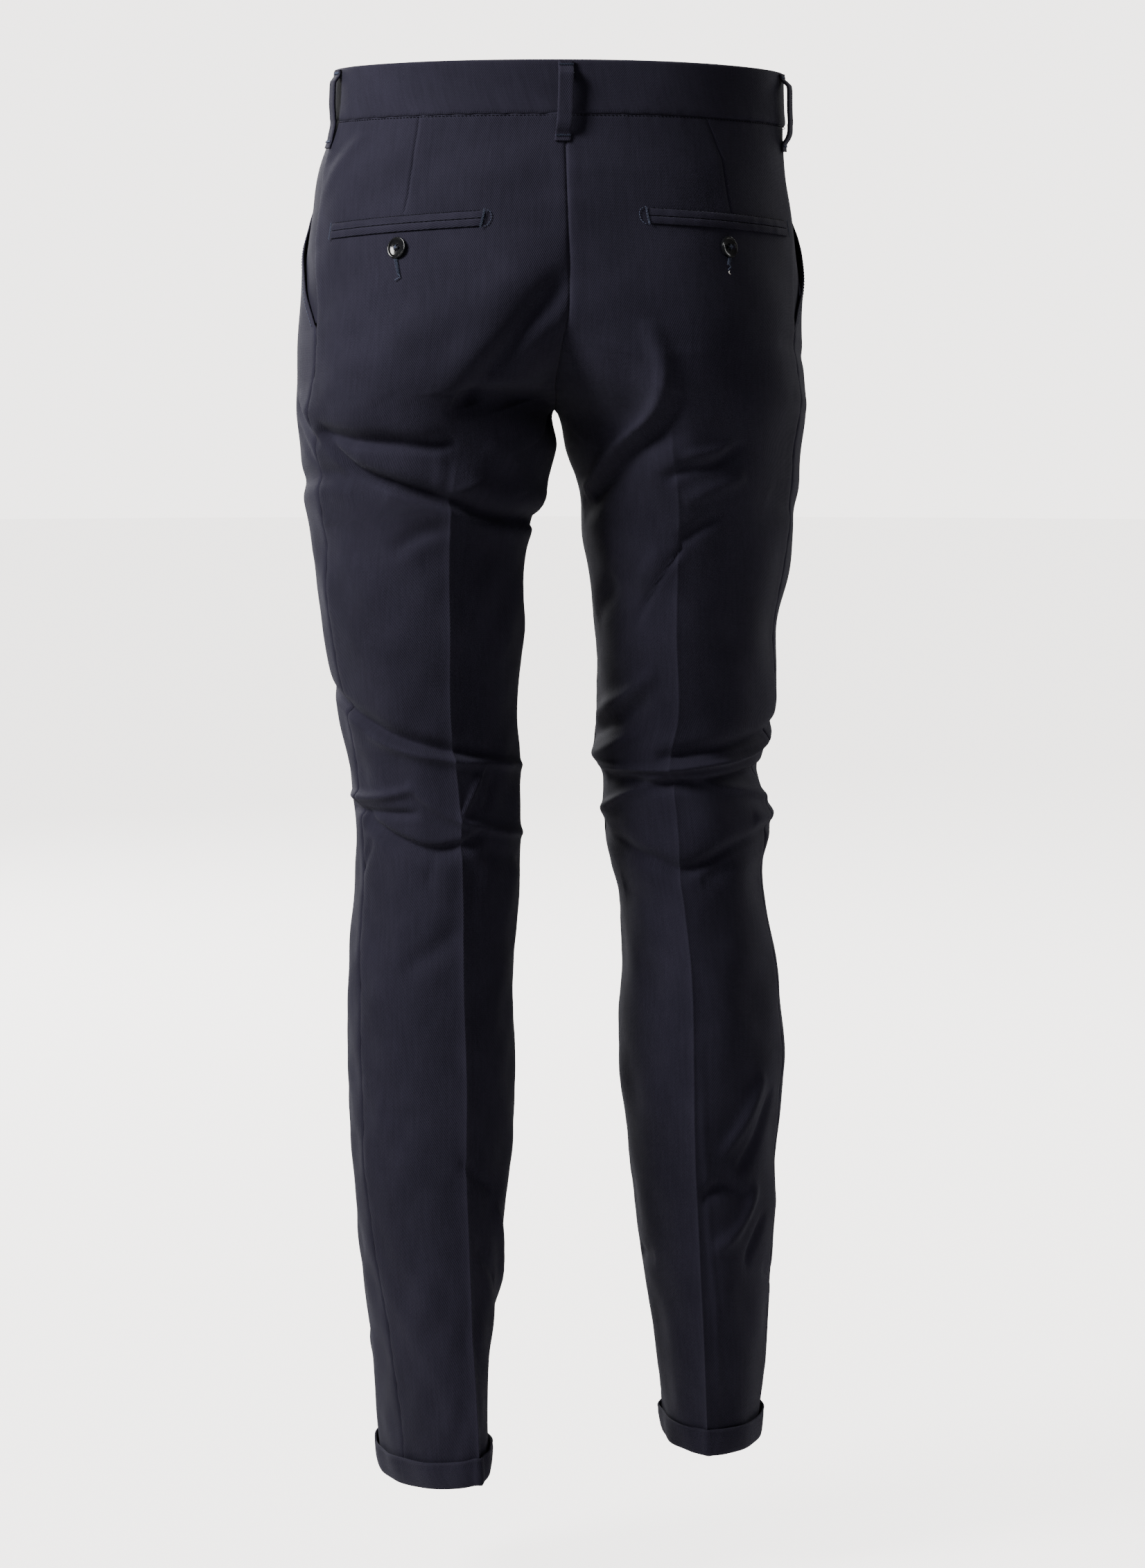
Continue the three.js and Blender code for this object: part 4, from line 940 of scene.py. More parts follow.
def panel(leg, face):
    """One leg's back or front, from the waistband down to the hem."""
    c, z_side, z_inner, z, angle, half = panel_grid(leg, face)
    sign = SIDE[leg] * (1 if face == "back" else -1)
    points = cloth(leg, angle, z)
    seam = seam_at(z_inner)[face]
    edge = {n: cloth(n, angle_at_x(n, z_inner, seam, face), z_inner) for n in SIDE}
    other = "right" if leg == "left" else "left"
    meet = np.stack([seam, (edge[leg][:, 1] + edge[other][:, 1]) / 2, z_inner], -1) - edge[leg]
    meet[z_side < SIDE_AT_CROTCH_Z] = 0
    points = points + meet[:, None, :] * np.clip(2 * c - 1, 0, 1)[None, :, None] ** 2
    if face == "front":
        points = points + cloth_normal(leg, angle, z) * pocket_gape(leg, angle, z)[..., None]
    points[..., 2] += waist_rise(leg, angle, z) + hem_rise(leg, angle, z)
    normals = grid_normals(points, sign)
    from_start = run_length(points)
    from_end = from_start[:, -1:] - from_start
    from_top = run_length(points.transpose(1, 0, 2)).T
    phase = 1.3 * (1 + list(SIDE).index(leg)) + (0 if face == "back" else 2.4)
    # Both legs roll alike where they meet, so that the centre seam stays closed
    centre = (z_side >= SIDE_AT_CROTCH_Z)[:, None]
    normals[..., 0] *= 1 - centre * bell(from_end, CENTRE_BLEND)
    normals /= np.linalg.norm(normals, axis=-1, keepdims=True)
    end_phase = np.where(centre, CENTRE_PHASE[face], phase)
    push = np.zeros(z.shape)
    pocket_edge = (face == "front") & (z_side > POCKET_FOOT_Z + 4)[:, None]
    sides = ((from_start, from_top[:, :1], phase), (from_end, from_top[:, -1:], end_phase))
    for distance, along, own in sides:
        roll = SEAM_ROLL * bell(distance, SEAM_ROLL_WIDTH)
        lift = SEAM_LIFT * bell(distance - SEAM_LIFT_PLACE, SEAM_LIFT_WIDTH)
        wave = SEAM_PUCKER * puckers(along, SEAM_PUCKER_PERIOD, own) * np.exp(-distance / SEAM_PUCKER_FADE)
        if distance is from_start:
            roll = np.where(pocket_edge, POCKET_EDGE_ROLL * roll, roll)
            wave = np.where(pocket_edge, POCKET_EDGE_WAVE * wave, wave)
        push += lift + wave - roll
    push += TOP_PUCKER * puckers(from_start, TOP_PUCKER_PERIOD, phase) * np.exp(-from_top / TOP_PUCKER_FADE)
    push -= SEAM_ROLL * bell(from_top, SEAM_ROLL_WIDTH)
    if face == "back":
        off = (angle - dart_angle(leg, z)) * DART_MM_PER_DEGREE
        depth = smoothstep(-z, *DART_TOP) * (1 - smoothstep(-z, *DART_FOOT))
        push -= depth * DART_GROOVE * bell(off, DART_GROOVE_WIDTH)
        push += depth * DART_SWELL * bell(off - DART_SWELL_PLACE, DART_SWELL_PLACE)
    points = points + normals * push[..., None]
    points[0, :, 2] += TOP_TUCK
    wear = np.exp(-np.minimum(from_start, from_end) / EDGE_WEAR_REACH)
    wear = wear + TOP_WEAR * np.exp(-from_top / TOP_WEAR_REACH)
    crease_off = np.abs(from_start - from_start[:, half - 1 : half])
    wear = wear + CREASE_WEAR * np.exp(-crease_off / EDGE_WEAR_REACH) * smoothstep(-z, *CREASE_WEAR_STARTS)
    uv = grain(points, half - 1)
    name = f"{face}_{leg}_cloth"
    piece = grid_piece(name, points, sign, NAVY_TWILL, CLOTH_WALL, uv, np.clip(wear, 0, 1))
    declare_cut(points)
    return hang(piece, "cloth", f"{face}_{leg}")


def laid(leg, angle, z, lift):
    """Places at some height over the cloth."""
    points = cloth(leg, angle, z) + cloth_normal(leg, angle, z) * np.asarray(lift)[..., None]
    points[..., 2] += waist_rise(leg, angle, z)
    return points


FACING_TOP_TUCK = 1.8


def pocket_facing(leg):
    """The cloth that shows in a slant pocket's opening."""
    t = np.linspace(0, 1, 70)
    z = lerp(-BAND_HEIGHT + FACING_TOP_TUCK, POCKET_FOOT_Z + 6, t)[:, None]
    low = front_edge_angle(z) - POCKET_UNDERLAP
    high = seam_at(z)["side"] + 1
    angle = lerp(low, high, np.linspace(0, 1, 36)[None, :])
    z = np.broadcast_to(z, angle.shape)
    points = laid(leg, angle, z, np.full(angle.shape, -FACING_DEPTH))
    piece = grid_piece(f"pocket_facing_{leg}_cloth", points, -SIDE[leg], NAVY_TWILL, FACING_WALL)
    declare_cut(points)
    return hang(piece, "cloth", f"pocket_facing_{leg}")


def welt_lip(leg, lip):
    """One narrow folded strip of a back pocket, crowned along its middle."""
    outer, inner = WELTS[leg]["outer"], WELTS[leg]["inner"]
    low, high = (0, WELT_LIP) if lip == "upper" else (WELT_LIP + WELT_SLIT, 2 * WELT_LIP + WELT_SLIT)
    along = np.concatenate([[0, 0.006], np.linspace(0.015, 0.985, 84), [0.994, 1]])
    across = np.array([0, 0.05, 0.12, 0.22, 0.35, 0.5, 0.65, 0.78, 0.88, 0.95, 1])
    angle = lerp(outer[0], inner[0], along)[None, :]
    z = lerp(outer[1], inner[1], along)[None, :] - lerp(low, high, across)[:, None]
    angle = np.broadcast_to(angle, z.shape)
    outside = across if lip == "upper" else 1 - across
    crown = 1.25 * np.sin(math.pi * np.clip(0.1 + 0.62 * outside, 0, 1)) ** 0.6
    wave = 0.09 * puckers(along[None, :] * 92, 11, 1.0 + low)
    ends = 0.4 * (np.exp(-along * 80) + np.exp(-(1 - along) * 80))[None, :]
    points = laid(leg, angle, z, LAID_GAP + 0.15 + crown[:, None] + wave - ends)
    wear = np.exp(-((1 - outside)[:, None] ** 2) / 0.02) * np.ones(z.shape)
    uv = np.stack([-z + 100, angle * 2 + 200], -1)
    piece = grid_piece(f"welt_{lip}_{leg}_cloth", points, SIDE[leg], NAVY_TWILL, WELT_WALL, uv, wear)
    declare_cut(points)
    return hang(piece, "cloth", f"welt_{lip}_{leg}")


BAND_COLUMNS = 520
BAND_LEVELS = np.array([0, 0.35, 0.9, 1.8, 3.5, 7, 12, 18, 24, 29, 33, 35, 36, 36.5, 36.9])
# Both edges of the waistband roll in, and it swells a little above its seam: height and width
BAND_TOP_ROLL, BAND_FOOT_ROLL, BAND_SWELL, BAND_SWELL_LEVEL = (0.75, 0.7), (0.85, 0.9), (0.35, 3.5), 33


def waistband():
    """One strip once round the waist, from the underlap to the overlap."""
    bearing_at = lambda x: 360 + angle_at_x("left", 0.0, x, "front")
    start = bearing_at(UNDERLAP_X)
    lapped = start - bearing_at(OVERLAP_X)
    turned = np.linspace(0, 1, BAND_COLUMNS) * (360 + lapped)
    bearing = (start - turned + 360) % 360
    levels = BAND_LEVELS
    from_foot = levels[-1] - levels
    on_right = (bearing > 90) & (bearing < 270)
    own = np.where(on_right, 180 - bearing, np.where(bearing > 180, bearing - 360, bearing))
    tucked = UNDERLAP_DEPTH * (1 - smoothstep(turned - lapped, 2, 12))
    points = np.zeros((len(levels), len(turned), 3))
    for leg, mask in (("left", ~on_right), ("right", on_right)):
        angle, z = np.broadcast_arrays(own[mask][None, :], -levels[:, None].astype(float))
        normal = cloth_normal(leg, angle, z - 2)
        edge = BAND_TOP_ROLL[0] * bell(levels, BAND_TOP_ROLL[1])
        edge = edge + BAND_FOOT_ROLL[0] * bell(BAND_HEIGHT - levels, BAND_FOOT_ROLL[1])
        swell = BAND_SWELL[0] * bell(levels - BAND_SWELL_LEVEL, BAND_SWELL[1])
        lift = BAND_PROUD - tucked[mask][None, :] - edge[:, None] + swell[:, None]
        place = cloth(leg, angle, z) + normal * lift[..., None]
        place[..., 2] += waist_rise(leg, angle, -BAND_HEIGHT)
        points[:, mask] = place
    normals = grid_normals(points, -1)
    along = run_length(points)
    wave = 0.1 * puckers(along, 13, 2.2) * np.exp(-from_foot[:, None] / 5)
    slack = 0.22 * puckers(along, 74, 0.4) * np.sin(math.pi * levels / BAND_HEIGHT)[:, None]
    points = points + normals * (wave + slack)[..., None]
    wear = np.exp(-levels / 1.2) + 0.6 * np.exp(-from_foot / 1.2)
    wear = np.broadcast_to(wear[:, None], along.shape)
    uv = np.stack([along, np.broadcast_to(levels[:, None], along.shape)], -1)
    piece = grid_piece("waistband_cloth", points, -1, NAVY_TWILL, BAND_WALL, uv, wear)
    declare_cut(points)
    return hang(piece, "cloth", "waistband")


CUFF_STAND, CUFF_WALL = 0.6, 1.8
CUFF_GAPE = {"left": 1.5, "right": 0.9}
# The gape swells on two sides of the leg and ripples, and a seam's groove crosses the outer wall
CUFF_GAPE_SWELL, CUFF_GAPE_TURN, CUFF_RIPPLE = 1.1, 40, 0.25
CUFF_SEAM_DEGREES, CUFF_SEAM_GROOVE, CUFF_SEAM_SPREAD = (10, 180), 0.35, 1.2
CUFF_COLUMNS = 240


def cuff(leg):
    """Turned-up cuff: one closed band whose outer wall stands off the leg."""
    angle = np.linspace(-180, 180, CUFF_COLUMNS + 1)[:-1]
    top, web = CUFF_BOTTOM_Z + CUFF_HEIGHT, CUFF_BOTTOM_Z + CUFF_WEB
    gape = CUFF_GAPE[leg] + CUFF_GAPE_SWELL * np.clip(sin_deg(2 * angle + CUFF_GAPE_TURN), 0, None)
    gape = gape + CUFF_RIPPLE * puckers(angle, 60, 1.1)
    stand, wall = CUFF_STAND, CUFF_WALL
    height = lambda share: lerp(CUFF_BOTTOM_Z, top, share)
    # Once round the wall: how far off the leg, the share of the gape, and the height
    outer_side = [
        (stand + wall - 1.3, 0, CUFF_BOTTOM_Z),
        (stand + wall - 0.5, 0, height(0.012)),
        (stand + wall, 0, height(0.06)),
        (stand + wall + 0.2, 0.2, height(0.2)),
        (stand + wall + 0.1, 0.45, height(0.45)),
        (stand + wall - 0.2, 0.75, height(0.7)),
        (wall - 0.3, 1, height(0.88)),
        (wall - 0.1, 1, height(0.96)),
        (wall - 0.5, 1, height(0.995)),
        (wall / 2, 1, height(1.01)),
    ]
    inner_side = [
        (0.35, 1, height(0.99)),
        (0, 1, height(0.95)),
        (stand * 0.5, 0.6, height(0.6)),
        (stand, 0.2, height(0.25)),
        (stand, 0, web),
        (-0.6, 0, web),
        (-1.4, 0, web),
        (-1.4, 0, height(0.02)),
        (-0.8, 0, CUFF_BOTTOM_Z - 0.1),
        (0.4, 0, CUFF_BOTTOM_Z - 0.15),
    ]
    profile = outer_side + inner_side
    level = np.full(angle.shape, HEM_Z + 3.0)
    flat = cloth_normal(leg, angle, level)
    flat[:, 2] = 0
    flat = unit(flat)
    ring = []
    for off, share, z in profile:
        at = np.full(angle.shape, min(top, max(z, HEM_Z)))
        place = cloth(leg, angle, at) + flat * (off + share * gape)[:, None]
        from_seams = [((angle - a + 180) % 360 - 180) * MM_PER_DEGREE for a in CUFF_SEAM_DEGREES]
        seam = sum(np.exp(-(distance**2) / CUFF_SEAM_SPREAD) for distance in from_seams)
        place -= flat * (CUFF_SEAM_GROOVE * seam * (off > stand))[:, None]
        place[:, 2] = z + hem_rise(leg, angle, HEM_Z) + CUFF_RIPPLE * share * puckers(angle, 75, 0.3)
        ring.append(place)
    points = np.array(ring + ring[:1])
    sign = -SIDE[leg]
    around = run_length(points)
    uv = np.stack([around + 50, np.arange(len(points))[:, None] * 2.2 + np.zeros(around.shape)], -1)
    wear = np.zeros(around.shape)
    wear[7:11] = 0.9
    wear[0:3] = 0.5
    count = len(profile)
    faces = []
    for r in range(count):
        for a in range(len(angle)):
            b, s = (a + 1) % len(angle), (r + 1) % count
            quad = [r * len(angle) + a, s * len(angle) + a, s * len(angle) + b, r * len(angle) + b]
            faces.append(quad if sign > 0 else quad[::-1])
    piece = make_object(
        f"cuff_{leg}_cloth", points[:-1].reshape(-1, 3), faces, NAVY_TWILL,
        uv[:-1].reshape(-1, 2), wear[:-1].ravel(),
    )
    outer_wall = points[: len(outer_side)]
    outer_wall = np.concatenate([outer_wall, outer_wall[:, :1]], axis=1)
    declare_cut(outer_wall)
    return hang(piece, "cloth", f"cuff_{leg}")


def fly():
    """The flap over the front's centre seam, rounded at its foot."""
    t = np.linspace(0, 1, 90)
    z = lerp(-BAND_HEIGHT - 0.5, FLY_FOOT_Z, 1 - (1 - t) ** 1.4)
    low = np.clip((FLY_FOOT_Z + FLY_ROUND - z) / FLY_ROUND, 0, 1)
    width = (FLY_X[1] - FLY_X[0]) * np.sqrt(np.clip(1 - low**2, 0.02, None))
    across = np.linspace(0, 1, 26)
    x = FLY_X[0] + width[:, None] * across[None, :]
    level = np.broadcast_to(z[:, None], x.shape)
    lift = np.full(x.shape, FLY_LIFT + 0.9)
    on_right = (x < seam_at(level)["front"])[..., None]
    right, left = (laid(leg, angle_at_x(leg, level, x, "front"), level, lift) for leg in ("right", "left"))
    points = np.where(on_right, right, left)
    piece = grid_piece("fly_cloth", points, 1, NAVY_TWILL, FLY_WALL)
    declare_cut(points)
    return hang(piece, "cloth", "fly")


LOOP_COLUMNS = np.array([-1, -0.94, -0.84, -0.7, -0.5, -0.25, 0, 0.25, 0.5, 0.7, 0.84, 0.94, 1])


def loop_angle(leg, where):
    """A loop's degrees round: its own, or those of the back's centre seam."""
    if where is None:
        return float(angle_at_x(leg, LOOP_LEVEL, seam_at(LOOP_LEVEL)["back"], "back"))
    return where


def belt_loop(name):
    """A strip that stands off the waistband between its sewn ends."""
    leg, where, slack = LOOPS[name]
    angle = loop_angle(leg, where)
    step = np.linalg.norm(cloth(leg, angle + 1.0, LOOP_LEVEL) - cloth(leg, angle, LOOP_LEVEL))
    half = LOOP_WIDTH / 2 / step
    run = smooth_line([(z, s) for z, s in LOOP_RUN], 9)
    across = LOOP_COLUMNS
    points = np.zeros((len(run), len(across), 3))
    for i, (level, share) in enumerate(run):
        seat = (BAND_PROUD if level > -BAND_HEIGHT else 0) + LAID_GAP
        normal = cloth_normal(leg, float(angle), min(level, -4.0))
        normal[2] = 0
        normal = unit(normal)
        base = cloth(leg, angle + across * half, level)
        base[:, 2] = level + waist_rise(leg, angle, -BAND_HEIGHT)
        crown = -0.45 * np.abs(across) ** 8 + 0.12 * bell(np.abs(across) - 0.7, 0.12)
        kept = lerp(1, LOOP_FOOT_SLACK.get(name, 1), float(smoothstep(-level, 22, 42)))
        out = seat + max(share, 0) * slack * kept + LOOP_THICK + crown
        points[i] = base + normal * out[:, None]
    sign = SIDE[leg]
    wear = np.broadcast_to(np.abs(across) ** 6, points.shape[:2])
    uv_across = np.broadcast_to(across * LOOP_WIDTH / 2 + 40, wear.shape)
    uv_down = np.broadcast_to(-run[:, :1] + 30, wear.shape)
    uv = np.stack([uv_across, uv_down], -1)
    piece = grid_piece(f"{name}_cloth", points, sign, NAVY_TWILL, LOOP_WALL, uv, wear)
    declare_cut(points)
    return hang(piece, "cloth", name)


waistband()
for leg in SIDE:
    for face in ("back", "front"):
        panel(leg, face)
    pocket_facing(leg)
    for lip in ("upper", "lower"):
        welt_lip(leg, lip)
    cuff(leg)
fly()
for name in LOOPS:
    belt_loop(name)


# Sewing thread, and near-black dashes that paint groove shade, laid as fine round strands on the cloth

STRAND_SIDES = 6
STRAND_TAPER = 0.35
# Radius of each piece's strands, a little more than real thread has, so that it shows
STRAND_RADIUS = {
    "waist_seam_stitches": 0.3,
    "welt_tacks": 0.3,
    # the welt's near-black dashes paint the shade of its slit and upper groove
    "welt_shade_stitches": 0.42,
    "buttonhole_threads": 0.3,
    "white_thread_end": 0.34,
    "loop_tacks": 0.27,
    "fly_stitches": 0.26,
    "pocket_stitches": 0.24,
}
BUTTON_STRAND_RADIUS = 0.2


def strands(name, paths, material):
    """Many short strands of thread as one piece; paths are in millimetres."""
    radius = STRAND_RADIUS.get(name, BUTTON_STRAND_RADIUS)
    verts, faces = [], []
    for path in paths:
        path = np.asarray(path, float)
        along = unit(np.gradient(path, axis=0))
        side = unit(np.cross(along, np.where(np.abs(along[:, 2:]) < 0.9, [[0.0, 0, 1]], [[1.0, 0, 0]])))
        up = np.cross(side, along)
        taper = np.ones(len(path))
        taper[[0, -1]] = STRAND_TAPER
        first = len(verts)
        for place, one, two, share in zip(path, side, up, taper):
            for k in range(STRAND_SIDES):
                turn = 2 * math.pi * k / STRAND_SIDES
                verts.append(place + radius * share * (math.cos(turn) * one + math.sin(turn) * two))
        for i in range(len(path) - 1):
            for k in range(STRAND_SIDES):
                m = (k + 1) % STRAND_SIDES
                low, high = first + i * STRAND_SIDES, first + (i + 1) * STRAND_SIDES
                faces.append([low + k, low + m, high + m, high + k])
        last = first + (len(path) - 1) * STRAND_SIDES
        faces.append([first + k for k in reversed(range(STRAND_SIDES))])
        faces.append([last + k for k in range(STRAND_SIDES)])
    piece = make_object(name, np.array(verts), faces, material)
    return hang(piece, "cloth")


def beside(leg, angle, z, across, down, lift):
    """A place some millimetres across and down the cloth from a point of it."""
    across, down = np.asarray(across, float), np.asarray(down, float)
    step = np.linalg.norm(cloth(leg, angle + 1.0, z) - cloth(leg, angle - 1.0, z)) / 2
    return laid(leg, angle + across / step, z - down, np.broadcast_to(lift, across.shape))


def zigzag(leg, angle, z, start, end, width, pitch, lift):
    """A satin-stitched bar between two places, as one strand."""
    start, end = np.array(start, float), np.array(end, float)
    run = end - start
    length = np.hypot(*run)
    count = int(length / pitch)
    t = np.linspace(0, 1, count)
    turn = np.where(np.arange(count) % 2 == 0, 0.5, -0.5) * width
    square = np.array([-run[1], run[0]]) / length
    spot = start + t[:, None] * run + turn[:, None] * square
    bow = lift + 0.12 * np.cos(math.pi * np.arange(count))
    return beside(leg, angle, z, spot[:, 0], spot[:, 1], bow)


def dashes(points, stitch, gap):
    """Cuts a line of points into separate stitches that dip at both ends."""
    points = np.asarray(points, float)
    run = np.concatenate([[0], np.cumsum(np.linalg.norm(np.diff(points, axis=0), axis=1))])
    at = lambda d: np.stack([np.interp(d, run, points[:, k]) for k in range(3)], -1)
    return [at(d + stitch * np.array([0, 0.3, 0.7, 1])) for d in np.arange(0, run[-1] - stitch, stitch + gap)]


# Degrees round of the waist seam's stitched runs, and each row's stitch and gap
WAIST_SEAM_RUNS = [(-2, 118), (-118, -30)]
# the welt row's dashes are painted shade of a back pocket's slit and upper groove
WAIST_STITCH, WELT_SHADE_STITCH, TACK_STITCH, EDGE_STITCH = (1.8, 0.9), (2.4, 0.4), (1.5, 0.45), (2.3, 0.9)
TACK_PITCH = 0.5


def waist_seam_line(leg, low, high):
    """A stretch of the line just under the waistband."""
    angle = np.linspace(low, high, 500)
    return laid(leg, angle, np.full(500, -BAND_HEIGHT - 1.0), np.full(500, 0.0))


def waist_seam_stitches():
    """Small stitches just under the waistband."""
    paths = [
        path
        for leg in SIDE
        for low, high in WAIST_SEAM_RUNS
        for path in dashes(waist_seam_line(leg, low, high), *WAIST_STITCH)
        if SIDE[leg] * path[0, 0] > 0
    ]
    strands("waist_seam_stitches", paths, DARK_THREAD_AND_GROOVE_SHADE)


def welt_tacks():
    """A bar across both ends of a back pocket, and a bow of stitches beyond the inner end."""
    paths = []
    top, foot = -1.2, 2 * WELT_LIP + WELT_SLIT + 1.2
    turn = np.radians(np.linspace(-84, 84, 30))
    for leg in SIDE:
        (outer_angle, outer_z), (inner_angle, inner_z) = WELTS[leg]["outer"], WELTS[leg]["inner"]
        paths.append(zigzag(leg, inner_angle, inner_z, (0.2, top), (0.2, foot), 1.5, TACK_PITCH, 1.9))
        across = 1.0 + 4.6 * np.cos(turn) ** 0.8
        down = (foot + top) / 2 + 0.86 * ((foot - top) / 2) * np.sin(turn)
        paths += dashes(beside(leg, inner_angle, inner_z, across, down, 0.75), *TACK_STITCH)
        paths.append(zigzag(leg, outer_angle, outer_z, (-0.3, top), (-0.3, foot), 1.3, TACK_PITCH, 1.9))
    strands("welt_tacks", paths, NAVY_THREAD)


def welt_shade_stitches():
    """Near-black dashes in the slit between a back pocket's lips and along its upper edge: painted shade of
    the slit and of the groove above the upper lip.
    """
    paths = []
    t = np.linspace(0.02, 0.98, 120)
    for leg in SIDE:
        (outer_angle, outer_z), (inner_angle, inner_z) = WELTS[leg]["outer"], WELTS[leg]["inner"]
        # the slit's line, then the line above the upper lip: painted shade of both grooves
        for drop, lift in ((WELT_LIP + 0.35, 1.0), (-0.35, 0.45)):
            angle, z = lerp(outer_angle, inner_angle, t), lerp(outer_z, inner_z, t) - drop
            paths += dashes(laid(leg, angle, z, np.full(len(t), lift)), *WELT_SHADE_STITCH)
    strands("welt_shade_stitches", paths, DARK_THREAD_AND_GROOVE_SHADE)


# Back buttons: leg, degrees round and height; and each buttonhole's start and end beside its button
BUTTONS = {"button_back_left": ("left", 54.5, -128), "button_back_right": ("right", 53.5, -127)}
BUTTONHOLE_RUN = {"left": ((1.0, 6.8), (7.6, 19.0)), "right": ((1.4, 6.8), (4.8, 12.8))}


def buttonhole_threads():
    """Buttonholes seen below the buttons: a braid of thread round a slit, and its loose end."""
    paths = []
    for leg, angle, z in BUTTONS.values():
        start, end = BUTTONHOLE_RUN[leg]
        for shift in (-0.62, 0.62):
            a = (start[0] + shift, start[1])
            b = (end[0] + shift * 0.7, end[1])
            paths.append(zigzag(leg, angle, z, a, b, 1.35, TACK_PITCH, 0.85))
        t = np.linspace(0, 1, 16)
        across = end[0] + 1.5 * np.sin(5.2 * t) * SIDE[leg]
        paths.append(beside(leg, angle, z, across, end[1] - 0.5 + 4.2 * t, 0.9 + 0.5 * t))
    strands("buttonhole_threads", paths, NAVY_THREAD)


def white_thread_end():
    """A loose end of undyed thread under the right buttonhole."""
    t = np.linspace(0, 1, 8)
    path = beside(*BUTTONS["button_back_right"], 5.4 + 1.2 * np.sin(3 * t), 16.6 + 2.6 * t, 1.4)
    undyed = plain_material("undyed thread end", (0.55, 0.53, 0.5, 1), 0.7, 0.3)
    strands("white_thread_end", [path], undyed)


def loop_tacks():
    """A bar across both ends of each belt loop."""
    paths = []
    half = LOOP_WIDTH / 2 - 0.9
    for leg, where, _ in LOOPS.values():
        angle = loop_angle(leg, where)
        on_cloth = LAID_GAP + LOOP_THICK + 0.3
        on_band = LAID_GAP + BAND_PROUD + LOOP_THICK + 0.1
        for down, lift in ((32.2, on_cloth), (-16.3, on_band)):
            paths.append(zigzag(leg, angle, LOOP_LEVEL, (-half, down), (half, down), 1.3, TACK_PITCH, lift))
    strands("loop_tacks", paths, NAVY_THREAD)


def fly_stitches():
    """A row of stitches that follows the fly's edge."""
    turn = np.linspace(0, 1, 160)
    z = lerp(-BAND_HEIGHT - 3, FLY_FOOT_Z + 4, 1 - (1 - turn) ** 1.5)
    low = np.clip((FLY_FOOT_Z + FLY_ROUND - z) / FLY_ROUND, 0, 1)
    x = FLY_X[0] + (FLY_X[1] - FLY_X[0]) * np.sqrt(np.clip(1 - low**2, 0.02, None)) - 3.5
    line = laid("left", angle_at_x("left", z, x, "front"), z, np.full(len(z), FLY_LIFT + 1.0))
    strands("fly_stitches", dashes(line, *EDGE_STITCH), NAVY_THREAD)


def pocket_stitches():
    """A row of stitches beside each slant pocket's edge."""
    paths = []
    z = np.linspace(-BAND_HEIGHT - 2, POCKET_FOOT_Z + 3, 200)
    edge = front_edge_angle(z)
    for leg in SIDE:
        step = np.linalg.norm(cloth(leg, edge - 1.0, z) - cloth(leg, edge, z), axis=-1)
        angle = edge - 5.5 / step
        paths += dashes(laid(leg, angle, z, pocket_gape(leg, angle, z) + 0.45), *EDGE_STITCH)
    strands("pocket_stitches", paths, NAVY_THREAD)


waist_seam_stitches()
welt_tacks()
welt_shade_stitches()
buttonhole_threads()
white_thread_end()
loop_tacks()
fly_stitches()
pocket_stitches()

# Buttons: a turned dark disc with a raised rim, a dished face and four holes
BUTTON_RADIUS, BUTTON_EDGE, BUTTON_RIM = 7.5, 2.6, 1.0
BUTTON_HOLE, BUTTON_PITCH = 0.85, 2.7
BUTTON_SIDES, HOLE_SIDES = 72, 24
EDGE_ROUND, EDGE_SEGMENTS, EDGE_ANGLE, SMOOTH_ANGLE = 0.42, 4, 28, 32
# The thread in a button: half the gap of a pair, its height in the holes, under its bow and its bow
PAIR_SHIFT, THREAD_IN_HOLE, THREAD_LEVEL, THREAD_BOW = 0.22, 0.9, 1.75, 0.75
# Degrees that a button hangs away from square to its cloth
BUTTON_TURN = {"button_back_right_turned": 13, "button_back_left_turned": -9}


# Steps of a button's face from its rim inwards: inset and drop
FACE_STEPS = [(BUTTON_RIM, 0), (0.8, 0.7), (1.3, 0.2), (1.2, 0.16)]


def button_disc(name):
    """A round disc with a dished face."""
    select_none()
    bpy.ops.mesh.primitive_cylinder_add(
        vertices=BUTTON_SIDES,
        radius=BUTTON_RADIUS * MM,
        depth=BUTTON_EDGE * MM,
        location=(0, 0, BUTTON_EDGE / 2 * MM),
    )
    piece = bpy.context.object
    piece.name = name
    bpy.ops.object.mode_set(mode="EDIT")
    bpy.ops.mesh.select_mode(type="FACE")
    bpy.ops.mesh.select_all(action="DESELECT")
    bpy.ops.object.mode_set(mode="OBJECT")
    for face in piece.data.polygons:
        face.select = face.normal.z > 0.9
    bpy.ops.object.mode_set(mode="EDIT")
    for inset, drop in FACE_STEPS:
        bpy.ops.mesh.inset(thickness=inset * MM)
        bpy.ops.transform.translate(value=(0, 0, -drop * MM))
    bpy.ops.object.mode_set(mode="OBJECT")
    round_edge = piece.modifiers.new("edge", "BEVEL")
    round_edge.width = EDGE_ROUND * MM
    round_edge.segments = EDGE_SEGMENTS
    round_edge.angle_limit = math.radians(EDGE_ANGLE)
    bpy.ops.object.modifier_apply(modifier="edge")
    return piece


def drill_holes(piece):
    """Four holes through a button."""
    for sx in (-1, 1):
        for sy in (-1, 1):
            select_none()
            bpy.ops.mesh.primitive_cylinder_add(
                vertices=HOLE_SIDES,
                radius=BUTTON_HOLE * MM,
                depth=4 * BUTTON_EDGE * MM,
                location=(sx * BUTTON_PITCH / 2 * MM, sy * BUTTON_PITCH / 2 * MM, 0),
            )
            drill = bpy.context.object
            select_only(piece)
            hole = piece.modifiers.new("hole", "BOOLEAN")
            hole.object = drill
            hole.solver = "EXACT"
            bpy.ops.object.modifier_apply(modifier="hole")
            bpy.data.objects.remove(drill)


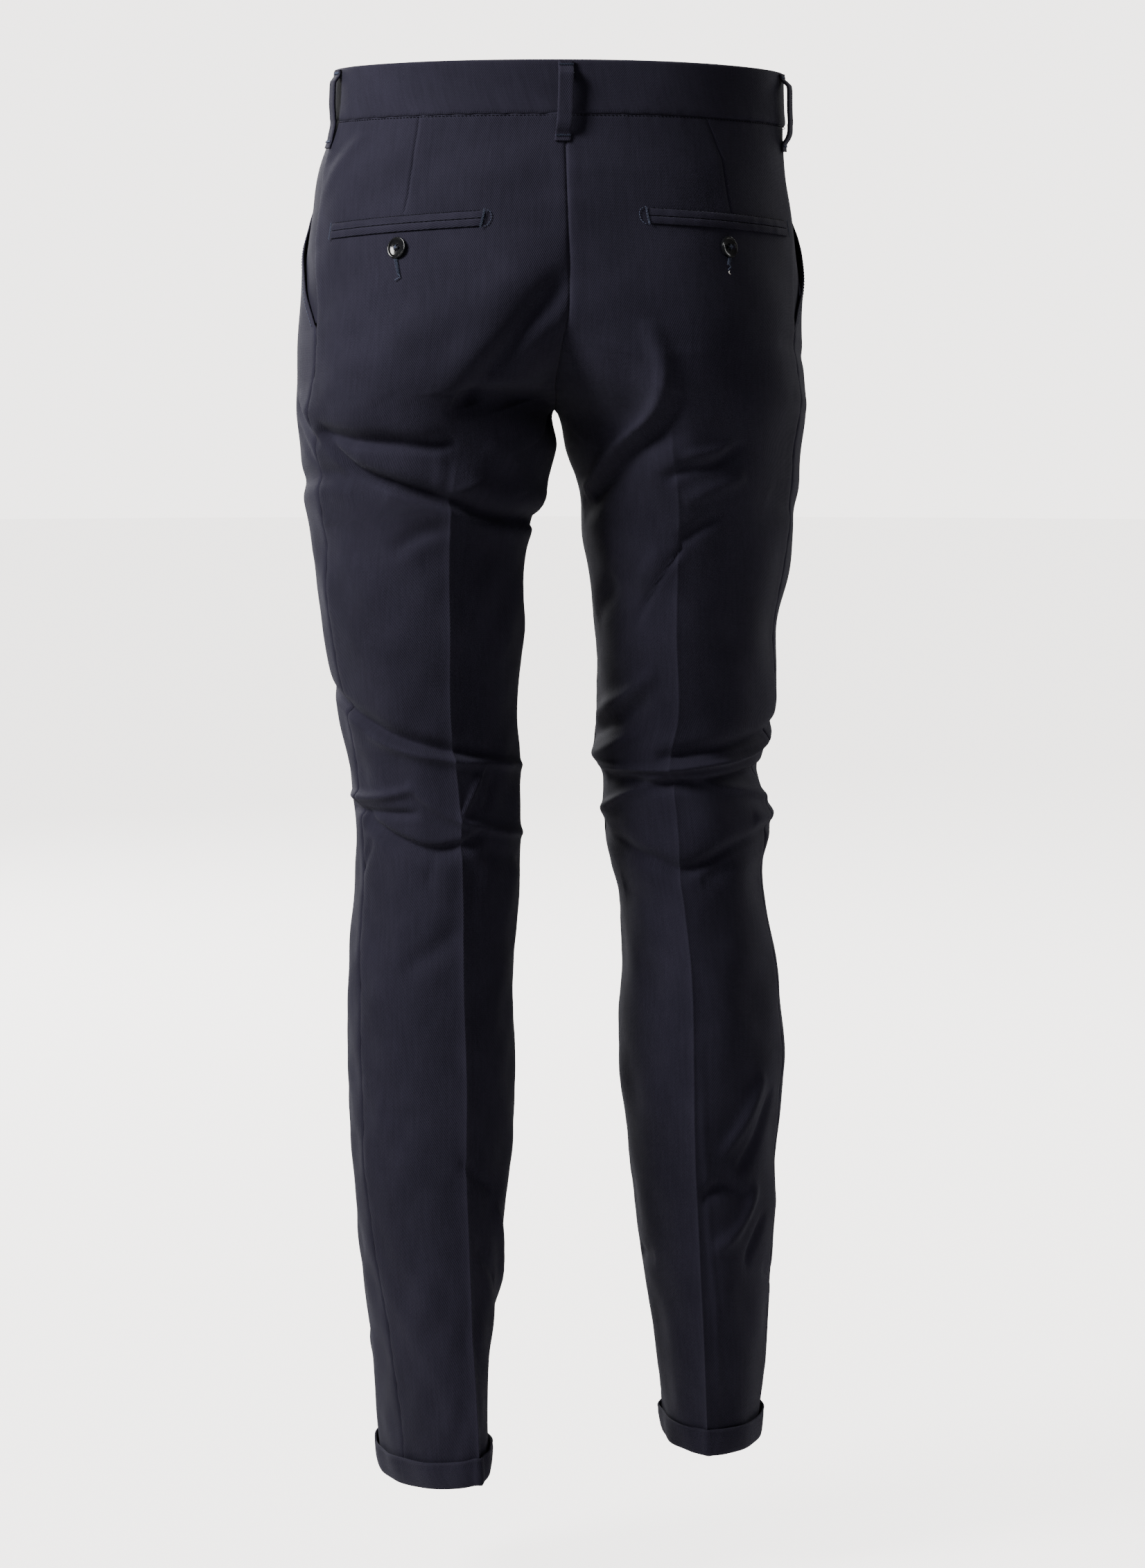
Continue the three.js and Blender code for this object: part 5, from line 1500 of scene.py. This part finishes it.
def crossed_thread(name, turned, place):
    """Two crossing pairs of thread through a button's holes."""
    crossing = []
    reach = BUTTON_PITCH / 2
    t = np.linspace(-1, 1, 9)
    for sx in (1, -1):
        for shift in (-PAIR_SHIFT, PAIR_SHIFT):
            height = THREAD_LEVEL + THREAD_BOW * (1 - t**2)
            local = np.stack([sx * reach * t + shift, reach * t - shift * sx, height], -1)
            local[[0, -1], 2] = THREAD_IN_HOLE
            crossing.append([np.array(turned @ Vector(q.tolist())) + place for q in local])
    strands(name, crossing, NAVY_THREAD)


def make_button(name, node, leg, angle, z, lift):
    """A button sewn to the cloth, turned a little as it hangs."""
    piece = button_disc(name)
    drill_holes(piece)
    select_only(piece)
    bpy.ops.object.shade_smooth_by_angle(angle=math.radians(SMOOTH_ANGLE))
    normal = cloth_normal(leg, float(angle), float(z))
    place = cloth(leg, float(angle), float(z)) + normal * lift
    place[2] += waist_rise(leg, float(angle), float(z))
    facing = Matrix.Rotation(math.radians(BUTTON_TURN.get(name, 0)), 3, "Z") @ Vector(normal.tolist())
    lean = Vector((0, 0, 1)).rotation_difference(facing)
    piece.rotation_mode = "QUATERNION"
    piece.rotation_quaternion = lean
    piece.location = Vector((place * MM).tolist())
    bpy.ops.object.transform_apply(location=True, rotation=True, scale=True)
    piece.data.materials.clear()
    piece.data.materials.append(DARK_HORN)
    hang(piece, "button", node)
    crossed_thread(f"{name}_thread", lean.to_matrix(), place)


for name, (leg, angle, z) in BUTTONS.items():
    make_button(f"{name}_turned", name, leg, angle, z, LAID_GAP)
WAIST_BUTTON_X, WAIST_BUTTON_Z = 3.0, -18.0
waist_button_angle = float(angle_at_x("left", WAIST_BUTTON_Z, WAIST_BUTTON_X, "front"))
waist_button_lift = BAND_PROUD + LAID_GAP
make_button(
    "button_waist_turned", "button_waist", "left", waist_button_angle, WAIST_BUTTON_Z, waist_button_lift
)

# Floor, light and camera

FLOOR_Z, FLOOR_RADIUS, FLOOR_COLOR = -1.11, 14, (0.6, 0.59, 0.58, 1)
# What the camera sees behind and below the trousers, and the weaker light that they get from there
BACKDROP = (0.965, 0.93, 0.9, 1)
BACKDROP_STRENGTH = 3.9
FLOOR_GLOW = 3.4
AMBIENT_STRENGTH = 0.16


def pale_floor():
    """A round floor under the trousers that looks as pale as the backdrop."""
    bpy.ops.mesh.primitive_circle_add(
        vertices=128, radius=FLOOR_RADIUS, fill_type="NGON", location=(0, 0, FLOOR_Z)
    )
    floor = bpy.context.object
    floor.name = "floor"
    material = bpy.data.materials.new("pale floor")
    material.use_nodes = True
    tree = material.node_tree
    shader = tree.nodes["Principled BSDF"]
    shader.inputs["Base Color"].default_value = FLOOR_COLOR
    shader.inputs["Roughness"].default_value = 0.9
    shader.inputs["Specular IOR Level"].default_value = 0.1
    shader.inputs["Emission Color"].default_value = BACKDROP
    seen = tree.nodes.new("ShaderNodeLightPath").outputs["Is Camera Ray"]
    link(tree, (math_node(tree, "MULTIPLY", seen, FLOOR_GLOW), shader.inputs["Emission Strength"]))
    floor.data.materials.append(material)


def pale_studio():
    """Surroundings that look bright to the camera and light the trousers only a little."""
    world = bpy.data.worlds.new("pale studio")
    world.use_nodes = True
    tree = world.node_tree
    background = tree.nodes["Background"]
    background.inputs["Color"].default_value = BACKDROP
    seen = tree.nodes.new("ShaderNodeLightPath").outputs["Is Camera Ray"]
    strength = math_node(tree, "MULTIPLY_ADD", seen, BACKDROP_STRENGTH - AMBIENT_STRENGTH, AMBIENT_STRENGTH)
    link(tree, (strength, background.inputs["Strength"]))
    bpy.context.scene.world = world


pale_floor()
pale_studio()


def soft_light(name, place, aim, size, power, color=(1, 1, 1), spread=180):
    """A rectangular lamp aimed at a place; its spread is in degrees."""
    data = bpy.data.lights.new(name, "AREA")
    data.shape = "RECTANGLE"
    data.size, data.size_y = size
    data.energy = power
    data.color = color
    data.spread = math.radians(spread)
    lamp = bpy.data.objects.new(name, data)
    bpy.context.scene.collection.objects.link(lamp)
    lamp.location = place
    lamp.rotation_euler = (Vector(aim) - Vector(place)).to_track_quat("-Z", "Y").to_euler()


soft_light("window", (1.89, 0.95, 1.15), (0, 0, 0.03), (0.75, 0.95), 35, (1, 0.985, 0.97), 96)
soft_light("fill", (-2.2, 3.0, 0.6), (0, 0, -0.5), (2.0, 2.0), 7)
soft_light("front", (1.3, -3.3, 1.0), (0, 0, -0.5), (1.8, 1.8), 190)
soft_light("far side", (-2.5, -2.2, 0.9), (0, 0, -0.5), (1.6, 1.6), 45)

CAMERA_PLACE = Vector((0.157, 2.996, -0.150))
CAMERA_AIM = Vector((-0.009, 0.0, -0.514))
CAMERA_LENS, CAMERA_SENSOR = 95.4, 36
camera_data = bpy.data.cameras.new("camera")
camera_data.lens = CAMERA_LENS
camera_data.sensor_width = CAMERA_SENSOR
camera = bpy.data.objects.new("camera", camera_data)
bpy.context.scene.collection.objects.link(camera)
camera.location = CAMERA_PLACE
camera.rotation_euler = (CAMERA_AIM - CAMERA_PLACE).to_track_quat("-Z", "Y").to_euler()
bpy.context.scene.camera = camera

bpy.context.view_layer.update()
